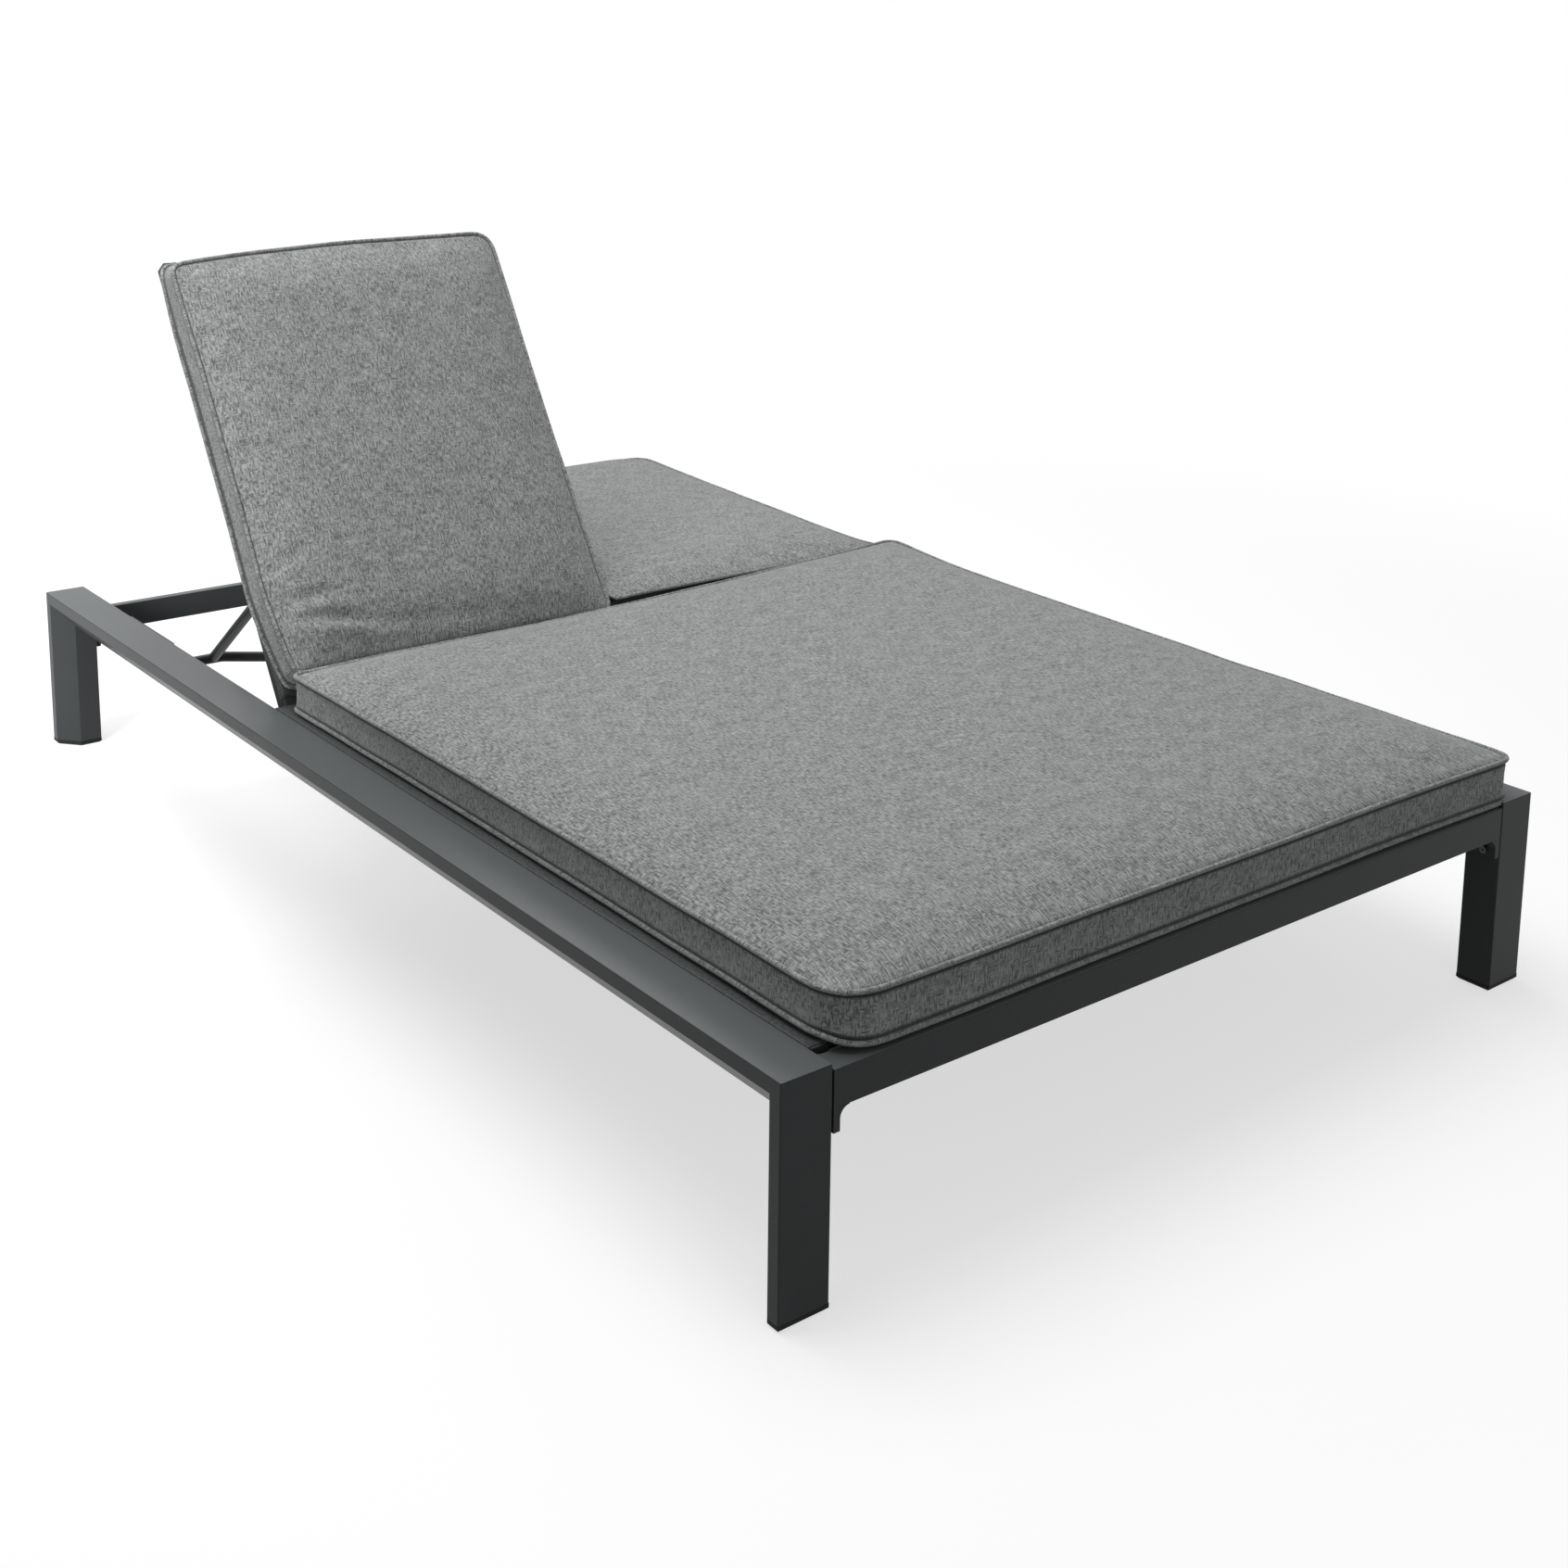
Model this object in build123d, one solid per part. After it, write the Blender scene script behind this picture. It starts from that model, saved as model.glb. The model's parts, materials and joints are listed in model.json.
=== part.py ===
"""Double chaise lounger for a patio: two mitred side frames, a sling deck, two tilting backs.

Millimetres. X runs across the lounger, Y from the foot to the head, Z up.
The origin is on the ground under the middle of the outer frame.
Each back is drawn lying flat with its hinge at the origin, then tilted and moved to its hinge.
"""
from build123d import *
import os
from math import asin, cos, degrees, radians, sin

os.makedirs("parts", exist_ok=True)

# Overall frame
overall_length = 2006.0
overall_width = 1212.0
frame_height = 258.0

# The extrusion that makes both side rails and all four legs
rail_width = 62.0
rail_depth = 50.0
rail_outer_lip = 17.0
rail_flat_back = 34.0
rail_wall = 2.0
rail_corner = 1.4

# Plastic glides under the legs
glide_height = 8.0
glide_chamfer = 3.0
glide_plug_height = 18.0
plug_clearance = 0.2

# Foot rail and head rail, each with a bolted flange at both ends
foot_rail_depth = 33.0
foot_rail_height = 41.0
foot_rail_drop = 7.0
head_rail_depth = 16.0
head_rail_height = 40.0
head_rail_inset = 24.0
flange_thickness = 8.0
flange_drop = 25.0
flange_gusset = 12.0
gasket_thickness = 2.0
gasket_inset = 2.5
tube_wall = 2.0
tube_corner = 1.5

# Cross rails and centre beams under the deck
cross_rail_width = 30.0
cross_rail_height = 40.0
end_plate_thickness = 3.0
end_plate_tail = 24.0
foot_cross_rail_setback = 70.0
seat_cross_rail_setback = 658.0
hinge_rail_setback = 17.0
beam_width = 40.0
head_beam_drop = 2.0

# Deck tubes, sling and their gaps
deck_tube_width = 20.0
deck_tube_height = 28.0
centre_tube_width = 30.0
deck_side_gap = 3.0
deck_foot_gap = 5.0
deck_head_gap = 5.0
sling_thickness = 2.0
sling_setback = 2.0
cap_thickness = 2.0
cap_plug_length = 14.0

# Fasteners
bolt_radius = 3.0
bolt_head_radius = 5.0
bolt_head_height = 3.2
bolt_length = 16.0
bolt_clearance = 0.05
screw_radius = 2.0
screw_head_radius = 3.5
screw_head_height = 1.8
screw_length = 7.0
screw_edge = 6.0
screw_drop = 42.0

# Back frames
back_hinge_setback = 734.0
back_frame_reach = 705.0
back_side_gap = 22.0
back_tube_width = 20.0
back_tube_depth = 28.0
lower_tube_start = 24.0
prop_tube_start = 191.0
raised_tilt = 56.5
lowered_tilt = 1.5
back_rest_gap = 0.4

# Hinge between the frame and each back
pin_radius = 5.0
pin_head_radius = 8.0
pin_head_height = 3.0
pin_tail_height = 1.5
pin_tail_radius = 7.5
pin_running_gap = 0.3
bush_radius = 7.0
running_clearance = 0.05
ear_thickness = 4.0
ear_side_gap = 0.5
ear_radius = 12.5
ear_foot_length = 20.0
ear_foot_height = 13.0
ear_tail_width = 10.0
ear_tail_length = 28.0

# Props that hold the backs up
prop_length = 304.8
prop_tube_radius = 8.0
prop_tube_wall = 1.5
prop_pivot_drop = 24.0
prop_leg_inset = 67.0
prop_end_gap = 6.0
prop_inner_gap = 2.0
prop_bow_start = 14.0
prop_bow_run = 94.0
prop_bow_drop = 19.0
prop_bow_radius = 50.0
prop_foot_trim = 4.0
prop_ear_gap = 0.5
prop_ear_thickness = 3.0
prop_ear_radius = 9.0
prop_pin_radius = 4.0
prop_rivet_radius = 6.5
prop_rivet_height = 2.5
rod_drop = 45.0

# Notched racks that carry the props
rack_width = 12.0
rack_bottom_drop = 25.0
rack_margin = 22.0
rack_rod_gap = 0.6
notch_radius = 8.3
notch_depth = 5.0
notch_count = 6
rack_plate_thickness = 4.0
rack_plate_top_drop = 2.0

# Cushions
cushion_clearance = 0.3
seat_cushion_left_inset = 72.0
seat_cushion_right_inset = 34.0
seat_cushion_foot_inset = 4.0
seat_cushion_head_gap = 50.0
seat_side_height = 52.0
seat_crown = 24.0
seat_corner = 55.0
back_cushion_side_gap = 2.0
back_cushion_gap = 4.0
back_cushion_start = 3.0
back_cushion_length = 694.0
back_side_height = 60.0
back_crown = 20.0
back_corner = 42.0
back_heel_rise = 34.0
back_heel_run = 28.0
cushion_edge = 4.0
cushion_draw_in = 5.0
crown_reach = 160.0
crown_inset_shares = (0.12, 0.42, 1.0)
crown_rise_shares = (0.45, 0.8, 1.0)

# A cut runs this far past the solid that it cuts
overrun = 2.0

# Places that follow from the sizes above
half_width = overall_width / 2
half_length = overall_length / 2
back_hinge_y = half_length - back_hinge_setback
inner_face = half_width - rail_width
frame_underside = frame_height - rail_depth
deck_top = frame_height
deck_tube_top = deck_top - sling_thickness
deck_tube_bottom = deck_tube_top - deck_tube_height
cross_rail_bottom = deck_tube_bottom - cross_rail_height
hinge_height = deck_tube_bottom + deck_tube_height / 2
hinge_rail_back = back_hinge_y - hinge_rail_setback
hinge_rail_front = hinge_rail_back - cross_rail_width
seat_tube_foot = -half_length + foot_rail_depth + deck_foot_gap
seat_tube_head = back_hinge_y - back_tube_depth / 2 - deck_head_gap
head_rail_top = deck_tube_bottom - back_rest_gap
head_rail_front = half_length - head_rail_inset - head_rail_depth
back_outer_face = inner_face - back_side_gap
back_inner_face = back_side_gap
seat_cushion_width = overall_width - seat_cushion_left_inset - seat_cushion_right_inset
back_cushion_width = inner_face - back_cushion_side_gap - back_cushion_gap / 2
prop_end = inner_face - prop_end_gap
prop_tail = beam_width / 2 + prop_inner_gap
rod_height = frame_height - rod_drop
rack_top = rod_height - prop_tube_radius - rack_rod_gap
rack_bottom = rod_height - rack_bottom_drop


def box_between(x_range, y_range, z_range):
    """A block given by its lowest and highest coordinate along each axis."""
    middles = [sum(r) / 2 for r in (x_range, y_range, z_range)]
    sizes = [r[1] - r[0] for r in (x_range, y_range, z_range)]
    return Pos(*middles) * Box(*sizes)


def hollow_section(width, height, wall):
    """Rounded rectangular tube section, centred."""
    outer = RectangleRounded(width, height, tube_corner)
    return outer - Rectangle(width - 2 * wall, height - 2 * wall)


def tube_across(x_range, y_range, z_range, wall=tube_wall):
    """Rectangular tube running along X."""
    section = hollow_section(y_range[1] - y_range[0], z_range[1] - z_range[0], wall)
    centre = Pos(sum(x_range) / 2, sum(y_range) / 2, sum(z_range) / 2)
    return centre * extrude(Plane.YZ * section, amount=(x_range[1] - x_range[0]) / 2, both=True)


def tube_along(x_range, y_range, z_range, wall=tube_wall):
    """Rectangular tube running along Y."""
    section = hollow_section(x_range[1] - x_range[0], z_range[1] - z_range[0], wall)
    centre = Pos(sum(x_range) / 2, sum(y_range) / 2, sum(z_range) / 2)
    return centre * extrude(Plane.XZ * section, amount=(y_range[1] - y_range[0]) / 2, both=True)


def rod_across(x_range, y, z, radius):
    """Round bar running along X."""
    bar = Cylinder(radius, x_range[1] - x_range[0], rotation=(0, 90, 0))
    return Pos(sum(x_range) / 2, y, z) * bar


def mirrored(solid):
    """The same solid on the other side of the lounger."""
    return mirror(solid, about=Plane.YZ)


def both_sides(solid):
    """A solid and its mirror image as one group."""
    return [solid, mirrored(solid)]


def rail_face(inset=0.0):
    """Five-sided section: flat show face, deep inner side, slanted lower outer side.

    The first axis runs inwards from the outer side, the second down from the show face.
    """
    points = [
        (0, 0),
        (rail_width, 0),
        (rail_width, -rail_depth),
        (rail_width - rail_flat_back, -rail_depth),
        (0, -rail_outer_lip),
    ]
    face = make_face(Polyline(*points, close=True))
    return offset(face, amount=-inset, kind=Kind.INTERSECTION) if inset else face


def rail_section():
    """The extrusion's wall as a sketch."""
    return fillet(rail_face().vertices(), radius=rail_corner) - rail_face(rail_wall)


def side_rail():
    """Left side rail, mitred at 45 degrees into both legs."""
    plane = Plane((-half_width, 0, frame_height), x_dir=(1, 0, 0), z_dir=(0, -1, 0))
    bar = extrude(plane * rail_section(), amount=half_length, both=True)
    corners = [
        (-half_length, frame_height),
        (half_length, frame_height),
        (half_length - rail_depth, frame_underside),
        (-half_length + rail_depth, frame_underside),
    ]
    keep = extrude(Plane.YZ * make_face(Polyline(*corners, close=True)), amount=half_width, both=True)
    bar = bar & keep
    for y in cross_rail_bolt_places():
        bar -= rod_across((-inner_face - rail_depth / 2, -inner_face + overrun), y, bolt_level(),
                          bolt_radius + bolt_clearance)
    for y in rack_screw_places():
        bar -= rod_across((-inner_face - rail_depth / 2, -inner_face + overrun), y, screw_level(),
                          screw_radius + bolt_clearance)
    return bar


def foot_leg():
    """Left foot leg, mitred at the top, open at the bottom for its glide."""
    plane = Plane((-half_width, -half_length, 0), x_dir=(1, 0, 0), z_dir=(0, 0, 1))
    section = mirror(rail_section(), about=Plane.XZ)
    bar = extrude(plane * section, amount=frame_height)
    corners = [
        (-half_length, glide_height),
        (-half_length, frame_height),
        (-half_length + rail_depth, frame_underside),
        (-half_length + rail_depth, glide_height),
    ]
    keep = extrude(Plane.YZ * make_face(Polyline(*corners, close=True)), amount=half_width, both=True)
    return bar & keep


def foot_glide():
    """Left foot glide: a chamfered pad with a plug that fits the leg."""
    place = Pos(-half_width, -half_length, 0)
    full = mirror(rail_face(), about=Plane.XZ)
    tread = mirror(rail_face(glide_chamfer), about=Plane.XZ)
    inner = mirror(rail_face(rail_wall + plug_clearance), about=Plane.XZ)
    pad = loft([tread, Pos(0, 0, glide_chamfer) * full], ruled=True)
    pad += extrude(Pos(0, 0, glide_chamfer) * full, amount=glide_height - glide_chamfer)
    pad += extrude(Pos(0, 0, glide_height) * inner, amount=glide_plug_height)
    return place * pad


def flange(y_front, depth, top, height):
    """Left end flange of a rail: a plate with a rounded gusset under the rail."""
    outer = -inner_face + gasket_thickness
    inner = outer + flange_thickness
    bottom = top - height
    plate = box_between((outer, inner), (y_front, y_front + depth), (bottom - flange_drop, top))
    corner = box_between((inner, inner + flange_gusset), (y_front, y_front + depth),
                         (bottom - flange_gusset, bottom))
    scoop = Pos(inner + flange_gusset, y_front + depth / 2, bottom - flange_gusset)
    corner -= scoop * Cylinder(flange_gusset, depth + overrun, rotation=(90, 0, 0))
    hole = rod_across((outer - overrun, inner + overrun), y_front + depth / 2, flange_bolt_level(bottom),
                      bolt_radius + bolt_clearance)
    return plate + corner - hole


def flange_bolt_level(bottom):
    """Height of a flange's bolt, a head's radius above the flange's lower edge with some margin."""
    return bottom - flange_drop + bolt_head_radius + bolt_radius


def gasket(y_front, depth, top, height):
    """Thin pad between a flange and its leg, set back from the flange's edges."""
    bottom = top - height
    pad = box_between((-inner_face, -inner_face + gasket_thickness),
                      (y_front + gasket_inset, y_front + depth - gasket_inset),
                      (bottom - flange_drop + gasket_inset, top - gasket_inset))
    hole = rod_across((-inner_face - overrun, -inner_face + gasket_thickness + overrun),
                      y_front + depth / 2, flange_bolt_level(bottom), bolt_radius + bolt_clearance)
    return pad - hole


def bolt_outwards(x_face, y, z):
    """Button-head bolt on a left face that looks to +X: the head stands proud, the shank goes to -X."""
    head = rod_across((x_face, x_face + bolt_head_height), y, z, bolt_head_radius)
    shank = rod_across((x_face - bolt_length, x_face), y, z, bolt_radius)
    socket = rod_across((x_face + bolt_head_height / 2, x_face + bolt_head_height + overrun), y, z,
                        bolt_radius / 2)
    return head + shank - socket


def end_rail(y_front, depth, top, height):
    """Foot or head rail between its two flanges."""
    reach = inner_face - gasket_thickness - flange_thickness
    return tube_across((-reach, reach), (y_front, y_front + depth), (top - height, top))


def cross_rail(y_front):
    """Cross rail under the deck, between its end plates."""
    reach = inner_face - end_plate_thickness
    return tube_across((-reach, reach), (y_front, y_front + cross_rail_width),
                       (cross_rail_bottom, deck_tube_bottom))


def end_plate(y_front):
    """Left end plate of a cross rail, with a tail that is bolted to the side rail."""
    y_back = y_front + cross_rail_width
    inner = -inner_face + end_plate_thickness
    plate = box_between((-inner_face, inner), (y_front, y_back + end_plate_tail),
                        (cross_rail_bottom, deck_tube_bottom))
    hole = rod_across((-inner_face - overrun, inner + overrun), y_back + end_plate_tail / 2, bolt_level(),
                      bolt_radius + bolt_clearance)
    return plate - hole


def cross_rail_fronts():
    """Front faces of the three cross rails, from the foot to the hinge."""
    return (
        -half_length + foot_cross_rail_setback,
        -half_length + seat_cross_rail_setback,
        hinge_rail_front,
    )


def cross_rail_bolt_places():
    """Places along Y of the bolts that hold the cross rails."""
    return [y + cross_rail_width + end_plate_tail / 2 for y in cross_rail_fronts()]


def bolt_level():
    """Height of the cross rail bolts, midway between a side rail's underside and the deck tubes."""
    return (frame_underside + deck_tube_bottom) / 2


def centre_beam(y_range, drop=0.0):
    """One length of the beam under the middle of the deck."""
    return tube_along((-beam_width / 2, beam_width / 2), y_range,
                      (cross_rail_bottom - drop, deck_tube_bottom - drop))


def seat_tube(x_range):
    """Deck tube that carries the seat sling."""
    return tube_along(x_range, (seat_tube_foot, seat_tube_head), (deck_tube_bottom, deck_tube_top))


def tube_cap(x_range, y_face, direction):
    """Plastic cap on the end of a deck tube; direction is +1 or -1 along Y, out of the tube."""
    plate_end = y_face + direction * cap_thickness
    plug_end = y_face - direction * cap_plug_length
    shrink = tube_wall + plug_clearance
    plate = box_between(x_range, sorted((y_face, plate_end)), (deck_tube_bottom, deck_tube_top))
    plug = box_between((x_range[0] + shrink, x_range[1] - shrink), sorted((y_face, plug_end)),
                       (deck_tube_bottom + shrink, deck_tube_top - shrink))
    return plate + plug


def hinge_ear(x_range):
    """Upright plate on the hinge rail that holds one hinge pin."""
    outline = [
        (hinge_rail_back - ear_foot_length, deck_tube_bottom),
        (hinge_rail_back - ear_foot_length, deck_tube_bottom + ear_foot_height),
        (back_hinge_y, hinge_height + ear_radius),
        (back_hinge_y + ear_radius, hinge_height),
        (hinge_rail_back + ear_tail_width, deck_tube_bottom - ear_tail_length),
        (hinge_rail_back, deck_tube_bottom - ear_tail_length),
        (hinge_rail_back, deck_tube_bottom),
    ]
    width = x_range[1] - x_range[0]
    plate = extrude(Plane.YZ * make_face(Polyline(*outline, close=True)), amount=width / 2, both=True)
    plate = Pos(sum(x_range) / 2, 0, 0) * plate
    plate += rod_across(x_range, back_hinge_y, hinge_height, ear_radius)
    hole = rod_across((x_range[0] - overrun, x_range[1] + overrun), back_hinge_y, hinge_height,
                      pin_radius + running_clearance)
    return plate - hole


def outer_ear_range():
    """Ear beside the inner face of a back's outer tube, left side."""
    start = -back_outer_face + back_tube_width + ear_side_gap
    return (start, start + ear_thickness)


def inner_ear_range():
    """Ear beside the outer face of a back's inner tube, left side."""
    stop = -back_inner_face - back_tube_width - ear_side_gap
    return (stop - ear_thickness, stop)


def hinge_pin(head_face, tail_face):
    """Pin from its head, past head_face, through tube and ear to its tail at tail_face."""
    way = 1 if tail_face > head_face else -1
    head_start = head_face - way * pin_running_gap
    head = rod_across(sorted((head_start, head_start - way * pin_head_height)), back_hinge_y, hinge_height,
                      pin_head_radius)
    shank = rod_across(sorted((head_start, tail_face + way * pin_tail_height)), back_hinge_y, hinge_height,
                       pin_radius)
    tail = rod_across(sorted((tail_face, tail_face + way * pin_tail_height)), back_hinge_y, hinge_height,
                      pin_tail_radius)
    return head + shank + tail


def back_place(tilt):
    """Location that takes a flat back, hinged at the origin, to its hinge and its tilt."""
    return Pos(0, back_hinge_y, hinge_height) * Rot(tilt, 0, 0)


def back_side_tube(x_range):
    """Side tube of a back, rounded about the hinge and closed at both ends."""
    half = back_tube_depth / 2
    body = box_between(x_range, (0, back_frame_reach), (-half, half))
    body = fillet(body.edges().filter_by(Axis.Y), radius=tube_corner)
    body += rod_across(x_range, 0, 0, half)
    cavity = box_between((x_range[0] + tube_wall, x_range[1] - tube_wall),
                         (half + tube_wall, back_frame_reach - tube_wall),
                         (-half + tube_wall, half - tube_wall))
    hole = rod_across((x_range[0] - overrun, x_range[1] + overrun), 0, 0, bush_radius + running_clearance)
    return body - cavity - hole


def hinge_bush(x_range):
    """Nylon sleeve in the end of a back's side tube."""
    sleeve = rod_across(x_range, 0, 0, bush_radius)
    return sleeve - rod_across((x_range[0] - overrun, x_range[1] + overrun), 0, 0,
                               pin_radius + running_clearance)


def back_cross_tube(start):
    """Cross tube between a back's two side tubes, left side."""
    half = back_tube_depth / 2
    span = (-back_outer_face + back_tube_width, -back_inner_face - back_tube_width)
    return tube_across(span, (start, start + back_tube_width), (-half, half))


def back_sling():
    """Fabric panel over a back's frame, left side."""
    half = back_tube_depth / 2
    return box_between((-back_outer_face, -back_inner_face),
                       (half + sling_setback, back_frame_reach - sling_setback),
                       (half, half + sling_thickness))


def prop_leg_places():
    """Middle of each prop leg along X, left side, outer one first."""
    return (-prop_end + prop_leg_inset, -prop_tail - prop_leg_inset)


def prop_pivot_reach():
    """Distance from the hinge to the prop's pivot along the back."""
    return prop_tube_start + back_tube_width / 2


def prop_ear(x_middle, side):
    """One cheek of a prop's clevis; side is +1 or -1 along X."""
    inner = x_middle + side * (prop_tube_radius + prop_ear_gap)
    x_range = sorted((inner, inner + side * prop_ear_thickness))
    y = prop_pivot_reach()
    cheek = box_between(x_range, (y - prop_ear_radius, y + prop_ear_radius),
                        (-prop_pivot_drop, -back_tube_depth / 2))
    cheek += rod_across(x_range, y, -prop_pivot_drop, prop_ear_radius)
    hole = rod_across((x_range[0] - overrun, x_range[1] + overrun), y, -prop_pivot_drop,
                      prop_pin_radius + running_clearance)
    return cheek - hole


def prop_pin(x_middle):
    """Riveted pin through a prop's clevis."""
    reach = prop_tube_radius + prop_ear_gap + prop_ear_thickness
    y = prop_pivot_reach()
    pin = rod_across((x_middle - reach, x_middle + reach), y, -prop_pivot_drop, prop_pin_radius)
    for side in (-1, 1):
        face = x_middle + side * reach
        pin += rod_across(sorted((face, face + side * prop_rivet_height)), y, -prop_pivot_drop,
                          prop_rivet_radius)
    return pin


def prop_pivot(tilt):
    """Height and place of the prop's pivot when its back has this tilt."""
    reach = prop_pivot_reach()
    turn = radians(tilt)
    y = back_hinge_y + reach * cos(turn) + prop_pivot_drop * sin(turn)
    z = hinge_height + reach * sin(turn) - prop_pivot_drop * cos(turn)
    return y, z


def resting_spread(tilt):
    """Angle between back and prop that puts the prop's foot at rod_height."""
    return tilt + degrees(asin((prop_pivot(tilt)[1] - rod_height) / prop_length))


def prop_ratio():
    """Degrees that the prop opens for each degree that the back rises."""
    opened = resting_spread(raised_tilt) - resting_spread(lowered_tilt)
    return opened / (raised_tilt - lowered_tilt)


def prop_dip(tilt):
    """Angle of the prop below the horizontal when it follows its back by prop_ratio."""
    return resting_spread(raised_tilt) - prop_ratio() * (raised_tilt - tilt) - tilt


def prop_foot(tilt):
    """Place along Y of the prop's crossbar."""
    return prop_pivot(tilt)[0] + prop_length * cos(radians(prop_dip(tilt)))


def prop_place(tilt):
    """Location that takes a flat prop, pivoted at the origin, to its place under a back."""
    y, z = prop_pivot(tilt)
    return Pos(0, y, z) * Rot(-prop_dip(tilt), 0, 0)


def prop_leg(x_middle):
    """Round tube from an eye at the pivot to the crossbar that it is welded to."""
    stop = prop_length - prop_foot_trim
    turn = (90, 0, 0)
    bar = Pos(x_middle, stop / 2, 0) * Cylinder(prop_tube_radius, stop, rotation=turn)
    bore_start = prop_tube_radius + prop_tube_wall
    bore = Cylinder(prop_tube_radius - prop_tube_wall, prop_length - bore_start, rotation=turn)
    bar -= Pos(x_middle, (prop_length + bore_start) / 2, 0) * bore
    eye = (x_middle - prop_tube_radius, x_middle + prop_tube_radius)
    bar += rod_across(eye, 0, 0, prop_tube_radius)
    wide = (eye[0] - overrun, eye[1] + overrun)
    bar -= rod_across(wide, 0, 0, prop_pin_radius + running_clearance)
    return bar - rod_across(wide, prop_length, 0, prop_tube_radius)


def prop_crossbar():
    """Bent round tube: straight ends that sit on the racks, and a dropped middle."""
    outer_leg, inner_leg = prop_leg_places()
    first_bend = outer_leg + prop_bow_start
    last_bend = inner_leg - prop_bow_start
    route = [
        (-prop_end, prop_length, 0),
        (first_bend, prop_length, 0),
        (first_bend + prop_bow_run, prop_length, -prop_bow_drop),
        (last_bend - prop_bow_run, prop_length, -prop_bow_drop),
        (last_bend, prop_length, 0),
        (-prop_tail, prop_length, 0),
    ]
    path = FilletPolyline(*route, radius=prop_bow_radius)
    start = Plane(route[0], z_dir=(1, 0, 0))
    wall = Circle(prop_tube_radius) - Circle(prop_tube_radius - prop_tube_wall)
    return sweep(start * wall, path=path)


def rack_span():
    """Extent of the racks along Y, from the raised notch to the flat one."""
    return (prop_foot(raised_tilt) - rack_margin, prop_foot(0) + rack_margin)


def rack(x_range):
    """Nylon comb with a round notch for each position of the back."""
    comb = box_between(x_range, rack_span(), (rack_bottom, rack_top))
    for step in range(notch_count):
        tilt = lowered_tilt + (raised_tilt - lowered_tilt) * step / (notch_count - 1)
        comb -= rod_across((x_range[0] - overrun, x_range[1] + overrun), prop_foot(tilt),
                           rack_top + notch_radius - notch_depth, notch_radius)
    return comb


def rack_plate():
    """Steel strip that carries the left outer rack on the side rail."""
    x_range = (-inner_face, -inner_face + rack_plate_thickness)
    strip = box_between(x_range, rack_span(), (rack_bottom, frame_height - rack_plate_top_drop))
    for y in rack_screw_places():
        strip -= rod_across((x_range[0] - overrun, x_range[1] + overrun), y, screw_level(),
                            screw_radius + bolt_clearance)
    return strip


def rack_screw_places():
    """Places along Y of the screws at the two ends of a rack plate."""
    start, stop = rack_span()
    return (start + screw_edge, stop - screw_edge)


def screw_level():
    """Height of the rack plate's screws."""
    return frame_height - screw_drop


def rack_screw(y):
    """Screw through the left rack plate into the side rail."""
    face = -inner_face + rack_plate_thickness
    head = rod_across((face, face + screw_head_height), y, screw_level(), screw_head_radius)
    return head + rod_across((face - screw_length, face), y, screw_level(), screw_radius)


def cushion(width, length, side_height, crown, corner):
    """Boxed cushion on the plane z = 0, centred: pulled-in sides and a crowned top.

    It is lofted through rounded rectangles, each given by its inset and its height.
    """
    rings = [
        (cushion_edge, 0.0),
        (0.0, cushion_edge),
        (cushion_draw_in, side_height / 2),
        (0.0, side_height),
    ]
    for inset_share, rise_share in zip(crown_inset_shares, crown_rise_shares):
        rings.append((crown_reach * inset_share, side_height + crown * rise_share))
    faces = []
    for inset, height in rings:
        ring = RectangleRounded(width - 2 * inset, length - 2 * inset, corner)
        faces.append(Pos(0, 0, height) * ring)
    return loft(faces, ruled=True)


def seat_cushion():
    """One cushion for both seats, resting on the deck and lapping over the right side rail."""
    start = -half_length + seat_cushion_foot_inset
    stop = back_hinge_y - seat_cushion_head_gap
    left = -half_width + seat_cushion_left_inset
    pad = cushion(seat_cushion_width, stop - start, seat_side_height, seat_crown, seat_corner)
    return Pos(left + seat_cushion_width / 2, (start + stop) / 2, deck_top + cushion_clearance) * pad


def back_cushion():
    """Back cushion, left side, with its heel cut back so that it clears the seat cushion."""
    base = back_tube_depth / 2 + sling_thickness + cushion_clearance
    pad = cushion(back_cushion_width, back_cushion_length, back_side_height, back_crown, back_corner)
    middle = -(back_cushion_width + back_cushion_gap) / 2
    pad = Pos(middle, back_cushion_start + back_cushion_length / 2, base) * pad
    slope = back_heel_run / (back_side_height - back_heel_rise)
    top = base + back_side_height + back_crown
    heel = [
        (0, base + back_heel_rise),
        (slope * (top - base - back_heel_rise), top),
        (-overrun, top),
        (-overrun, base + back_heel_rise),
    ]
    wedge = extrude(Plane.YZ * make_face(Polyline(*heel, close=True)), amount=half_width, both=True)
    return pad - wedge


def back_pieces(tilt):
    """Every piece of the left back and its prop, placed at this tilt."""
    outer = (-back_outer_face, -back_outer_face + back_tube_width)
    inner = (-back_inner_face - back_tube_width, -back_inner_face)
    legs = prop_leg_places()
    flat = {
        "side_tube_outer": [back_side_tube(outer)],
        "side_tube_inner": [back_side_tube(inner)],
        "lower_tube": [back_cross_tube(lower_tube_start)],
        "prop_tube": [back_cross_tube(prop_tube_start)],
        "top_tube": [back_cross_tube(back_frame_reach - back_tube_width)],
        "sling": [back_sling()],
        "cushion": [back_cushion()],
        "hinge_bushes": [hinge_bush(outer), hinge_bush(inner)],
        "prop_ears": [prop_ear(x, side) for x in legs for side in (-1, 1)],
        "prop_pins": [prop_pin(x) for x in legs],
    }
    moved = {name: [back_place(tilt) * s for s in solids] for name, solids in flat.items()}
    props = {
        "prop_leg_outer": prop_leg(legs[0]),
        "prop_leg_inner": prop_leg(legs[1]),
        "prop_crossbar": prop_crossbar(),
    }
    moved.update({name: [prop_place(tilt) * solid] for name, solid in props.items()})
    return moved


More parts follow.
